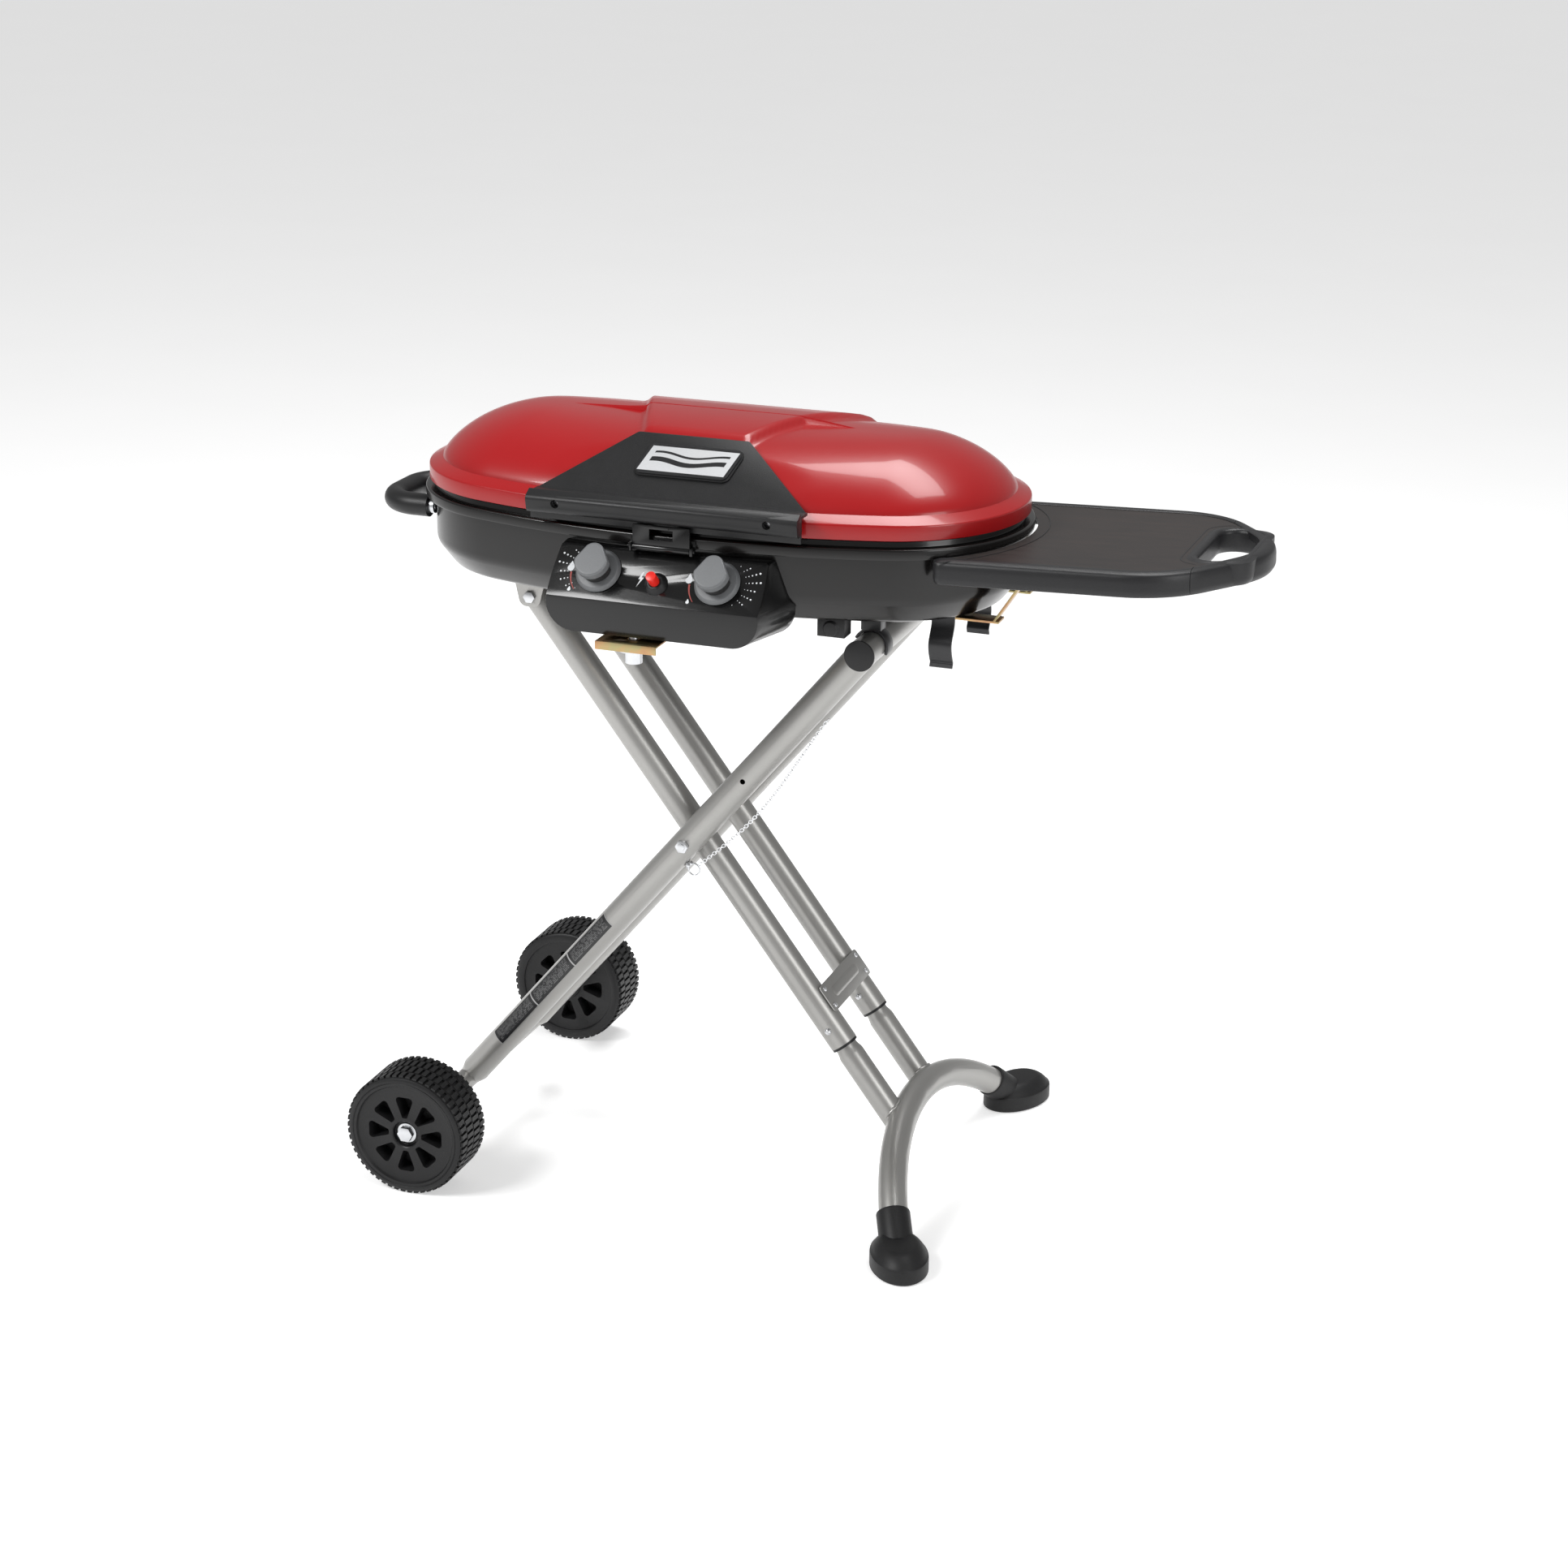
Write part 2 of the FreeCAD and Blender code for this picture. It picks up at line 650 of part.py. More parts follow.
def make_lid_grip():
    """Hollow-backed bar along the front of the plate, with two screw wells."""
    back_y = -(lid_half_depth + plate_thick + 2 * seat)
    front_y = back_y - grip_stand_off
    z1 = dome_foot_z + 8
    z0 = z1 - grip_height
    section = [Vec(-grip_half_length, back_y, z0 + 3), Vec(-grip_half_length, front_y + 4, z0),
               Vec(-grip_half_length, front_y, z1 - 8), Vec(-grip_half_length, back_y, z1)]
    bar = prism(section, [2, 6, 6, 2], X_AXIS * 2 * grip_half_length)
    hollow = box(-grip_half_length + grip_wall, grip_half_length - grip_wall,
                 front_y + grip_wall + 3, back_y + 1, z0 + grip_wall + 3, z1 - grip_wall - 6)
    bar = bar.cut(hollow)
    z = (z0 + z1) / 2
    for side in (-1, 1):
        x = side * grip_hole_half_spacing
        well = rod(Vec(x, front_y + grip_wall, z), Vec(x, back_y, z), grip_hole_radius + grip_wall)
        bar = fuse(bar, well).cut(rod(Vec(x, front_y - 2, z), Vec(x, back_y + 1, z), grip_hole_radius))
    return solid(bar)


def make_lid_screws():
    back_y = -(lid_half_depth + plate_thick + 2 * seat)
    z = dome_foot_z + 8 - grip_height / 2

    def screw(side):
        at = Vec(side * grip_hole_half_spacing, back_y, z)
        return rod(at - Y_AXIS * seat, at - Y_AXIS * 4, grip_hole_radius - free)
    return pair(screw)


def make_badge():
    """Blank name plate leaning on the front slope."""
    foot_y = -(lid_half_depth - ledge_width - facet_foot_inset)
    foot = Vec(0, foot_y, dome_foot_z)
    top = Vec(0, facet_top_y, dome_foot_z + dome_height - 4)
    run = (top - foot).normalize()
    out = Vec(0, -run.z, run.y)
    start = foot + run * 32 + out * (0.3 + plate_thick + 2 * seat)
    corners = [start - X_AXIS * badge_length / 2, start + X_AXIS * badge_length / 2,
               start + X_AXIS * badge_length / 2 + run * badge_width,
               start - X_AXIS * badge_length / 2 + run * badge_width]
    return prism(corners, [7, 7, 7, 7], out * badge_thick)


# ---- lid hinges and latch -----------------------------------------------------------
def hinge_barrel(x0, x1):
    barrel = rod(Vec(x0, hinge_y, hinge_z), Vec(x1, hinge_y, hinge_z), hinge_barrel_radius)
    return barrel.cut(rod(Vec(x0 - 1, hinge_y, hinge_z), Vec(x1 + 1, hinge_y, hinge_z),
                          hinge_pin_radius + running))


def make_hinge_bases():
    def base(side):
        x = side * hinge_half_spacing
        y0 = box_half_depth + rim_outset + seat
        plate = box(x - 1.6 * knuckle_length, x + 1.6 * knuckle_length, y0, y0 + 2.5,
                    rim_z - 2, hinge_z - 3)
        parts = [plate]
        for end in (-1, 1):
            x0 = x + end * knuckle_length - knuckle_length / 2
            arm = box(x0 + free, x0 + knuckle_length - free, y0, hinge_y,
                      hinge_z - hinge_barrel_radius, hinge_z - 2.8)
            parts += [hinge_barrel(x0 + free, x0 + knuckle_length - free), arm]
        whole = fuse(*parts)
        bore = rod(Vec(x - 40, hinge_y, hinge_z), Vec(x + 40, hinge_y, hinge_z),
                   hinge_pin_radius + running)
        return whole.cut(bore)
    return pair(base)


def make_hinge_leaves():
    def leaf(side):
        x = side * hinge_half_spacing
        half = knuckle_length / 2 - free
        drop = box(x - half, x + half, oval_back_y(x) + seat, oval_back_y(x) + 3, lid_z, skirt_top_z)
        arm = box(x - half, x + half, oval_back_y(x) + seat, hinge_y, hinge_z + 2.8,
                  hinge_z + hinge_barrel_radius)
        bore = rod(Vec(x - 40, hinge_y, hinge_z), Vec(x + 40, hinge_y, hinge_z),
                   hinge_pin_radius + running)
        skin = oval_slab(lid_outset + seat, lid_z - 5, skirt_top_z + 5)
        return fuse(hinge_barrel(x - half, x + half), arm, drop).cut(bore).cut(skin)
    return pair(leaf)


def oval_back_y(x):
    """How far behind the middle the lid's skirt is at a place along its length."""
    cut = oval_slab(lid_outset, lid_z, lid_z + 1).common(box(x - 0.5, x + 0.5, 0, 400, lid_z, lid_z + 1))
    return cut.BoundBox.YMax - 2.0


def make_hinge_pins():
    def pin(side):
        x = side * hinge_half_spacing
        reach = 1.5 * knuckle_length
        shaft = rod(Vec(x - reach, hinge_y, hinge_z), Vec(x + reach, hinge_y, hinge_z), hinge_pin_radius)
        head = rod(Vec(x + reach, hinge_y, hinge_z), Vec(x + reach + 1.5, hinge_y, hinge_z),
                   hinge_pin_radius + 1.5)
        return fuse(shaft, head)
    return pair(pin)


def make_latch_bracket():
    """Two ears on a small plate under the rim, holding the latch pin."""
    y0 = -(box_half_depth + rim_outset + seat)
    plate = box(-latch_half_width - 4, latch_half_width + 4, y0 - 2, y0, rim_z - 2, rim_top_z - 2)
    parts = [plate]
    for side in (-1, 1):
        x = side * (latch_half_width + 2)
        ear = box(x - 1.5, x + 1.5, latch_y - 4, y0, latch_z - 4, latch_z + 4)
        parts.append(ear)
    whole = fuse(*parts)
    pin = rod(Vec(-latch_half_width - 5, latch_y, latch_z), Vec(latch_half_width + 5, latch_y, latch_z), 2)
    return solid(fuse(whole, pin))


def make_latch_flap():
    """Flat flap with a finger window and a rounded foot around its pin."""
    front = latch_y - latch_thick / 2
    x = latch_half_width - free
    plate = box(-x, x, front, front + latch_thick, latch_z + 3, latch_z + latch_length - 3)
    eye = rod(Vec(-x, latch_y, latch_z), Vec(x, latch_y, latch_z), 3.5)
    window = box(-13, 13, front - 5, front + 9, latch_z + 9, latch_z + latch_length - 7)
    bar = box(-9, 9, front - 1.5, front, latch_z + latch_length - 6, latch_z + latch_length - 3)
    flap = fuse(plate, eye, bar).cut(window)
    bore = rod(Vec(-x - 9, latch_y, latch_z), Vec(x + 9, latch_y, latch_z), 2 + running)
    return solid(flap.cut(bore))


# ---- side table and carrying handle -------------------------------------------------
def table_outline(inset, z):
    half, corner = table_half_width - inset, table_corner_radius - inset
    start, end = table_start_x, table_end_x - inset
    tip = table_end_half_width - inset * 0.45
    corners = [Vec(start, -half, z), Vec(table_corner_x, -half, z), Vec(end, -tip, z),
               Vec(end, tip, z), Vec(table_corner_x, half, z), Vec(start, half, z)]
    end_round = table_end_radius - inset * 0.5
    return rounded_outline(corners, [10, corner, end_round, end_round, corner, 10])


def table_slab(inset, z0, z1):
    return Part.Face(table_outline(inset, z0)).extrude(Vec(0, 0, z1 - z0))


def tilted(shape):
    """Tables rise slightly towards the grip."""
    return shape.rotate(Vec(table_start_x, 0, table_top_z), Y_AXIS, -table_rise_angle)


def box_clearance(gap):
    return fuse(oval_slab(rim_outset + gap, table_top_z - 60, table_top_z + 60))


def grip_zone(gap):
    """Everything beyond the seam between the table's rail and its grip."""
    x = slot_inner_x + 6 + gap
    return box(x, table_end_x + 50, -200, 200, table_top_z - 60, table_top_z + 60)


def slot_cut(grow):
    corners = [Vec(slot_inner_x - grow, -slot_half_length - grow, 0),
               Vec(slot_outer_x + grow, -slot_half_length * 0.72 - grow, 0),
               Vec(slot_outer_x + grow, slot_half_length * 0.72 + grow, 0),
               Vec(slot_inner_x - grow, slot_half_length + grow, 0)]
    wire = rounded_outline(corners, [slot_round + grow / 2] * 4)
    wire.translate(Vec(0, 0, table_top_z - 60))
    return Part.Face(wire).extrude(Vec(0, 0, 120))


def make_table_top():
    """Board inside the rails, cut round the cook box."""
    slab = table_slab(table_rail_width + seat, table_top_z - table_sheet, table_top_z)
    edge = slot_inner_x - recess_margin / 2
    slab = slab.cut(box(edge, table_end_x, -200, 200, table_top_z - 60, table_top_z + 60))
    return solid(tilted(slab).cut(box_clearance(table_gap)))


def make_table_frame():
    """Rounded rail down both sides of the table."""
    slab = table_slab(0, table_top_z - table_rail_height, table_top_z)
    slab = slab.cut(table_slab(table_rail_width, table_top_z - 60, table_top_z + 60))
    slab = slab.cut(grip_zone(0))
    shelf = table_slab(table_rail_width - 1, table_top_z - table_sheet - 4,
                       table_top_z - table_sheet - seat)
    shelf = shelf.cut(box(slot_inner_x - recess_margin / 2 - 12, 700, -200, 200, 600, 900))
    far = shelf.cut(table_slab(table_rail_width + 14, table_top_z - 60, table_top_z + 60))
    ribs = shelf.common(fuse(box(380, 384, -200, 200, 600, 900), box(460, 464, -200, 200, 600, 900)))
    inner_rib = shelf.common(oval_slab(rim_outset + table_gap + 12, 600, 900))
    whole = tilted(fuse(slab, far, ribs, inner_rib))
    return solid(whole.cut(box_clearance(table_gap)))


def make_table_grip():
    """Closed loop at the end of the table, with the hand slot."""
    slab = table_slab(0, table_top_z - table_rail_height, table_top_z)
    edge = slot_inner_x - recess_margin / 2 + seat
    end = slab.common(grip_zone(seat))
    plate = table_slab(table_rail_width + seat, table_top_z - table_rail_height + 6, table_top_z)
    plate = plate.common(box(edge, slot_inner_x + 10, -200, 200, 600, 900))
    return solid(tilted(fuse(end, plate).cut(slot_cut(0))))


def make_table_brackets():
    """Two bent strips from the end of the cook box to the underside of the table."""
    def bracket(side):
        y = side * 60
        low = box(283, 312, y - 11, y + 11, box_bottom_z - 3, box_bottom_z - 0.5)
        rise = box(312, 330, y - 11, y + 11, box_bottom_z - 3, box_bottom_z - 0.5)
        start = Vec(325, y - 11, box_bottom_z - 3)
        end = Vec(372, y - 11, table_under_z(372) - 3)
        run = (end - start).normalize()
        thick = Vec(-run.z, 0, run.x) * 2.5
        arm = Part.Face(Part.makePolygon([start, end, end + thick, start + thick, start]))
        arm = arm.extrude(Vec(0, 22, 0))
        foot = box(368, 400, y - 11, y + 11, table_under_z(368) - 3.2, table_under_z(368) - 0.6)
        return fuse(low, rise, arm, foot)
    return pair(bracket)


def table_under_z(x):
    """Underside of the table's shelf at a place along its length."""
    rise = math.tan(math.radians(table_rise_angle)) * (x - table_start_x)
    return table_top_z - table_sheet - 4 + rise


def make_carry_handle():
    """Bent grip bar with two arms that end short of the wall."""
    wall_x = -carry_wall_x() - carry_spacer_length
    out_x = -(box_half_length + carry_reach - carry_radius)
    y = carry_arm_half_spacing
    path = [Vec(wall_x, -y, carry_height_z), Vec(out_x, -y, carry_height_z),
            Vec(out_x, y, carry_height_z), Vec(wall_x, y, carry_height_z)]
    bar = bent_rod(path, carry_bend, carry_radius)
    for side in (-1, 1):
        bar = bar.cut(rod(Vec(wall_x + 5, side * y, carry_height_z),
                          Vec(wall_x - 14, side * y, carry_height_z), carry_bolt_radius + seat))
    return solid(bar)


def carry_wall_x():
    """Half length of the wall where the handle's arms meet it."""
    end_centre = box_half_length - box_end_radius
    return end_centre + math.sqrt(box_end_radius ** 2 - carry_arm_half_spacing ** 2)


def make_carry_bolts():
    def bolt(side):
        y = side * carry_arm_half_spacing
        wall = -carry_wall_x() - 0.6
        spacer = rod(Vec(wall - 0.4, y, carry_height_z),
                     Vec(-carry_wall_x() - carry_spacer_length + seat, y, carry_height_z), 8.0)
        shaft = rod(Vec(wall, y, carry_height_z),
                    Vec(wall - carry_spacer_length - 12, y, carry_height_z), carry_bolt_radius)
        skin = oval_slab(seat, carry_height_z - 20, carry_height_z + 20)
        return fuse(spacer, shaft).cut(skin)
    return pair(bolt)


# ---- fittings under the box ---------------------------------------------------------
def make_leg_bracket():
    """Plate under the box with an ear on each side of both inner legs."""
    x0, x1 = leg_hinge_x - 20, leg_hinge_x + 20
    top = box_bottom_z - seat
    parts = [box(x0, x1, -inner_half_spacing - 24, inner_half_spacing + 24, top - 2.5, top)]
    for side in (-1, 1):
        for offset in (-1, 1):
            y = side * inner_half_spacing + offset * (tube_radius + free + 1.25)
            ear = prism([Vec(x0, y - 1.25, top - 1), Vec(x1, y - 1.25, top - 1),
                         Vec(leg_hinge_x + 11, y - 1.25, leg_hinge_z - 11),
                         Vec(leg_hinge_x - 11, y - 1.25, leg_hinge_z - 11)], [0, 0, 9, 9], Y_AXIS * 2.5)
            parts.append(ear)
    whole = fuse(*parts)
    return solid(whole.cut(rod(leg_hinge - Y_AXIS * 90, leg_hinge + Y_AXIS * 90, leg_bolt_radius + seat)))


def make_leg_bolts():
    def bolt(side):
        y = side * inner_half_spacing
        ear = tube_radius + free + 2.5 + seat
        start = leg_hinge + Y_AXIS * (y - ear)
        end = leg_hinge + Y_AXIS * (y + ear)
        return fuse(rod(start - Y_AXIS * 0.1, end + Y_AXIS * 0.1, leg_bolt_radius),
                    hexagon(start, Y_AXIS * -1, 12, 3.0), hexagon(end, Y_AXIS, 12, 3.0))
    return pair(bolt)


def make_leg_clip():
    """Springy hook that holds the cross tube from above, the right and below."""
    inner = tube_radius + 2 * free
    outer = inner + clip_wall
    y0 = clip_y - clip_width / 2
    ring = pipe(Vec(cross_tube_at.x, y0, cross_tube_at.z),
                Vec(cross_tube_at.x, y0 + clip_width, cross_tube_at.z), outer, clip_wall)
    sector = [Vec(cross_tube_at.x, y0, cross_tube_at.z)]
    for i in range(7):
        angle = math.radians(clip_wrap_from + (clip_wrap_to - clip_wrap_from) * i / 6)
        sector.append(sector[0] + Vec(math.sin(angle), 0, math.cos(angle)) * 60)
    wedge = Part.Face(Part.makePolygon(sector + [sector[0]])).extrude(Vec(0, clip_width, 0))
    stem_top = box_bottom_z - seat
    stem = box(cross_tube_at.x - 11, cross_tube_at.x + 11, y0, y0 + clip_width,
               cross_tube_at.z + inner + 1, stem_top)
    return solid(fuse(ring.common(wedge), stem))


def make_clip_box():
    """Small housing beside the hook, with a round boss on its front."""
    x1 = cross_tube_at.x - 12
    x0 = x1 - clip_box_length
    y0 = -outer_half_spacing - 38
    z0, z1 = box_bottom_z - 20, box_bottom_z - seat
    body = box(x0, x1, y0, y0 + 21, z0, z1)
    x, z = (x0 + x1) / 2, (z0 + z1) / 2 - 1
    boss = cone(Vec(x, y0, z), Vec(x, y0 - 3, z), 9, 7)
    return solid(fuse(body, boss))


def make_storage_hooks():
    """Two wavy spring straps that grip the folded inner legs from outside."""
    def hook(side):
        outside = inner_half_spacing + tube_radius + 1.5
        z_leg = leg_hinge_z - (hook_x - leg_hinge_x) * math.sin(math.radians(fold_rest_angle))
        x = hook_x - hook_width / 2
        points = [Vec(x, side * (outside - 9), box_bottom_z - seat),
                  Vec(x, side * (outside - 6), z_leg + tube_radius + 6),
                  Vec(x, side * (outside + 2), z_leg + 4),
                  Vec(x, side * (outside - 2), z_leg - 12),
                  Vec(x, side * (outside - 6), z_leg - tube_radius + 1),
                  Vec(x, side * (outside - 3), z_leg - tube_radius - 4)]
        away = Vec(0, side * hook_sheet, 0)
        outline = points + [p + away for p in reversed(points)]
        return Part.Face(Part.makePolygon(outline + [outline[0]])).extrude(Vec(hook_width, 0, 0))
    return pair(hook)


# ---- inner legs, with the feet ------------------------------------------------------
def inner_point(distance, y=0.0, above=0.0):
    """A place on the inner legs, measured down them from the leg hinge."""
    return leg_hinge + inner_dir * distance + Y_AXIS * y + over_inner * above


def make_inner_tubes():
    def leg(side):
        y = side * inner_half_spacing
        tube = pipe(inner_point(-inner_tube_past_hinge, y), inner_point(inner_upper_length, y),
                    tube_radius, tube_wall)
        tube = tube.cut(rod(leg_hinge - Y_AXIS * 90, leg_hinge + Y_AXIS * 90, leg_bolt_radius + seat))
        tube = tube.cut(rod(crossing - Y_AXIS * 120, crossing + Y_AXIS * 120,
                            crossing_bolt_radius + running))
        hole = inner_point(inner_upper_length - spring_button_from_end, y)
        return tube.cut(rod(hole, hole - Y_AXIS * 20, spring_button_radius + running))
    return pair(leg)


def make_collars():
    """Plastic ring that closes the mouth of each upper tube."""
    def collar(side):
        y = side * inner_half_spacing
        end = inner_point(inner_upper_length, y)
        flange = rod(end + inner_dir * seat, end + inner_dir * 3, tube_radius - 0.4)
        sleeve = rod(end + inner_dir * 1, end - inner_dir * collar_length,
                     tube_radius - tube_wall - seat)
        bore = rod(end - inner_dir * 20, end + inner_dir * 9, plug_radius + seat)
        return fuse(flange, sleeve).cut(bore)
    return pair(collar)


def make_tie_plate():
    """Flat strip riveted across the front faces of both inner legs."""
    s = inner_upper_length - tie_from_end
    top = tube_radius + 0.5
    half_y = inner_half_spacing + 8
    corners = [inner_point(s - tie_width / 2, -half_y, top), inner_point(s + tie_width / 2, -half_y, top),
               inner_point(s + tie_width / 2, half_y, top), inner_point(s - tie_width / 2, half_y, top)]
    return prism(corners, [4, 4, 4, 4], over_inner * tie_thick)


def make_tie_rivets():
    solids = []
    for side in (-1, 1):
        for end in (-1, 1):
            s = inner_upper_length - tie_from_end + end * tie_width * 0.32
            at = inner_point(s, side * inner_half_spacing, tube_radius + 0.5 + tie_thick + seat)
            solids.append(cone(at, at + over_inner * 1.6, 3.2, 2.2))
    return Part.makeCompound(solids)


def make_foot_legs():
    """Lower legs: a plug that slides into the upper tube, a shoulder, then a full tube."""
    def leg(side):
        y = side * inner_half_spacing
        start = inner_upper_length - plug_depth
        plug = rod(inner_point(start, y), inner_point(inner_upper_length + 8, y), plug_radius)
        shoulder = cone(inner_point(inner_upper_length + 7, y), inner_point(inner_upper_length + 15, y),
                        plug_radius, foot_leg_radius)
        lower = rod(inner_point(inner_upper_length + 15, y), inner_point(bow_meet_distance(), y),
                    foot_leg_radius)
        hollow = rod(inner_point(start - 1, y), inner_point(bow_meet_distance() - 30, y),
                     plug_radius - tube_wall)
        leg_shape = fuse(plug, shoulder, lower).cut(hollow).cut(bow_rod(tube_radius + seat))
        leg_shape = sorted(leg_shape.Solids, key=lambda piece: piece.Volume)[-1]
        hole = inner_point(inner_upper_length - spring_button_from_end, y)
        return leg_shape.cut(rod(hole, hole - Y_AXIS * 20, spring_button_radius + running))
    return pair(leg)


def bow_meet_distance():
    """Where the axis of a lower leg meets the axis of the foot bow."""
    return bow_from_hinge + bow_radius - math.sqrt(bow_radius ** 2 - inner_half_spacing ** 2)


def on_bow(turn):
    return bow_middle + bow_dir * (bow_radius * (1 - math.cos(turn))) + Y_AXIS * (bow_radius * math.sin(turn))


def bow_rod(radius):
    first, last = on_bow(-bow_end_turn), on_bow(bow_end_turn)
    path = Part.Wire([Part.Arc(first, on_bow(0), last).toShape()])
    run = bow_end_run(-1) * -1
    section = Part.Wire([Part.Circle(first, run, radius).toShape()])
    return path.makePipeShell([section], True, False)


def bow_end_run(side):
    """Direction in which the bow leaves its end, outwards and down."""
    return bow_dir * math.sin(bow_end_turn) + Y_AXIS * (side * math.cos(bow_end_turn))


def make_foot_bow():
    return solid(bow_rod(tube_radius).cut(bow_rod(tube_radius - tube_wall)))


def foot_ring(share, z):
    """Oval outline of a rubber foot at one height."""
    return Part.Wire([Part.Ellipse(Vec(0, 0, z), foot_half_length * share, foot_half_width * share).toShape()])


def make_feet():
    """Rubber boots: an oval pad on the ground and a sleeve over the end of the bow."""
    def foot(side):
        end = on_bow(side * bow_end_turn)
        run = bow_end_run(side)
        flat = Vec(run.x, run.y, 0).normalize()
        centre = Vec(end.x, end.y, 0) + flat * foot_out
        pad = Part.Face(foot_ring(1.0, 0)).extrude(Vec(0, 0, foot_pad_height))
        rings = [(1.0, 0.0), (0.88, 0.4), (0.58, 1.0)]
        shoulder = Part.makeLoft([foot_ring(share, foot_pad_height + rise * foot_shoulder)
                                  for share, rise in rings], True, True)
        pad = fuse(pad, shoulder)
        pad.Placement = FreeCAD.Placement(centre, FreeCAD.Rotation(X_AXIS, flat))
        sleeve = rod(end - run * foot_sleeve_length, end + run * 16, foot_sleeve_radius)
        below = box(-900, 900, -500, 500, -100, 1)
        boot = fuse(pad, sleeve.cut(below))
        boot = boot.cut(bow_rod(tube_radius + seat))
        return sorted(boot.Solids, key=lambda piece: piece.Volume)[-1]
    return pair(foot)


def make_spring_button(side):
    """Button that locks a lower leg in its upper tube; it shows through the tube's hole."""
    y = side * inner_half_spacing
    at = inner_point(inner_upper_length - spring_button_from_end, y)
    return fuse(rod(at - Y_AXIS * (plug_radius - tube_wall - 3.8), at - Y_AXIS * (tube_radius + 1.2),
                    spring_button_radius),
                Part.makeSphere(spring_button_radius, at - Y_AXIS * (tube_radius + 0.2)))


# ---- outer legs, with the wheels ----------------------------------------------------
def outer_point(distance, y=0.0, under=0.0):
    """A place on the outer legs, measured up them from the crossing bolt."""
    return crossing + outer_dir * distance + Y_AXIS * y + outer_down * under


def cross_rod(radius, half):
    return rod(cross_tube_at - Y_AXIS * half, cross_tube_at + Y_AXIS * half, radius)


def axle_rod(radius, half):
    return rod(axle - Y_AXIS * half, axle + Y_AXIS * half, radius)


def make_outer_tubes():
    def leg(side):
        y = side * outer_half_spacing
        low = -outer_lower_length + outer_tube_taper
        tube = rod(outer_point(low, y), outer_point(outer_upper_length, y), tube_radius)
        taper = cone(outer_point(-outer_lower_length, y), outer_point(low, y),
                     tube_radius * 0.72, tube_radius)
        hollow = rod(outer_point(low + 1, y), outer_point(outer_upper_length, y), tube_radius - tube_wall)
        whole = fuse(tube, taper).cut(hollow).cut(cross_rod(tube_radius + seat, 200))
        whole = whole.cut(axle_rod(axle_tube_radius + seat, 200))
        whole = sorted(whole.Solids, key=lambda piece: piece.Volume)[-1]
        whole = whole.cut(rod(crossing - Y_AXIS * 200, crossing + Y_AXIS * 200,
                              crossing_bolt_radius + running))
        if side < 0:
            hole = outer_point(-pin_below_crossing, y)
            whole = whole.cut(rod(hole, hole + outer_down * 20, pin_radius + running))
            lock = outer_point(108, y)
            whole = whole.cut(rod(lock - Y_AXIS * 20, lock + Y_AXIS * 20, pin_radius + running))
        return whole
    return pair(leg)


def make_cross_tube():
    return solid(cross_rod(tube_radius, cross_tube_half_length).cut(
        cross_rod(tube_radius - tube_wall, cross_tube_half_length)))


def make_end_caps():
    def cap(side):
        end = cross_tube_at + Y_AXIS * side * cross_tube_half_length
        out = Y_AXIS * side
        disc = rod(end + out * seat, end + out * end_cap_thick, tube_radius + 0.8)
        return fuse(disc, rod(end + out, end - out * 12, tube_radius - tube_wall - seat))
    return pair(cap)


def make_axle_tube():
    half = wheel_inner_face_y - 4
    return solid(axle_rod(axle_tube_radius, half).cut(axle_rod(axle_radius + seat, half + 1)))


def make_axle_bolts():
    """Bolt with washers through each wheel into the axle tube."""
    def bolt(side):
        out = Y_AXIS * side
        face = axle + out * (wheel_inner_face_y + wheel_width - hub_recess)
        shaft = rod(axle + out * (wheel_inner_face_y - 40), face + out * 1, axle_radius)
        washer = rod(face + out * free, face + out * (free + 1.6), wheel_hub_radius - 3.5)
        inner_washer = rod(axle + out * (wheel_inner_face_y - 3), axle + out * (wheel_inner_face_y - free),
                           wheel_hub_radius - 3)
        return fuse(shaft, washer, inner_washer, hexagon(face + out * 1.8, out, 16, 6.0))
    return pair(bolt)


def make_crossing_bolts():
    """Bolt, spacer and nut that join an inner and an outer leg."""
    def bolt(side):
        out = Y_AXIS * side
        inner_face = crossing + out * (inner_half_spacing - tube_radius - free)
        outer_face = crossing + out * (outer_half_spacing + tube_radius - 0.5)
        shaft = rod(inner_face, outer_face + out * 6.5, crossing_bolt_radius)
        nut = hexagon(outer_face + out * 0.6, out, 13, 5.0)
        head = rod(inner_face - out * 3, inner_face, 8.0)
        spacer = rod(crossing + out * (inner_half_spacing + tube_radius + free),
                     crossing + out * (outer_half_spacing - tube_radius - seat), 9.0)
        return fuse(shaft, nut, head, spacer)
    return pair(bolt)


def make_lock_pin():
    """Headed pin parked in the underside of the front outer leg, with its pull ring."""
    at = outer_point(-pin_below_crossing, -outer_half_spacing)
    shaft = rod(at + outer_down * (tube_radius - 9), at + outer_down * (tube_radius + 3), pin_radius)
    head = rod(at + outer_down * (tube_radius + 1), at + outer_down * (tube_radius + 4), pin_radius + 2)
    centre = at + outer_down * (tube_radius + 4 + 6)
    ring = Part.makeTorus(6.6, 1.0, centre, Y_AXIS)
    return solid(fuse(shaft, head, ring))


def chain_points():
    """Route of the chain from its eye near the top of the leg to the pin's ring."""
    y = -outer_half_spacing
    top = outer_point(chain_eye_above_crossing, y, tube_radius + 5)
    pin = outer_point(-pin_below_crossing + 10.2, y, tube_radius + 11)
    places = [(0.20, 4.0), (0.40, 9.5), (0.60, 11.5), (0.80, 8.0)]
    across = pin - top
    middle = [top + across * along + outer_down * sag for along, sag in places]
    return [top] + middle + [pin]


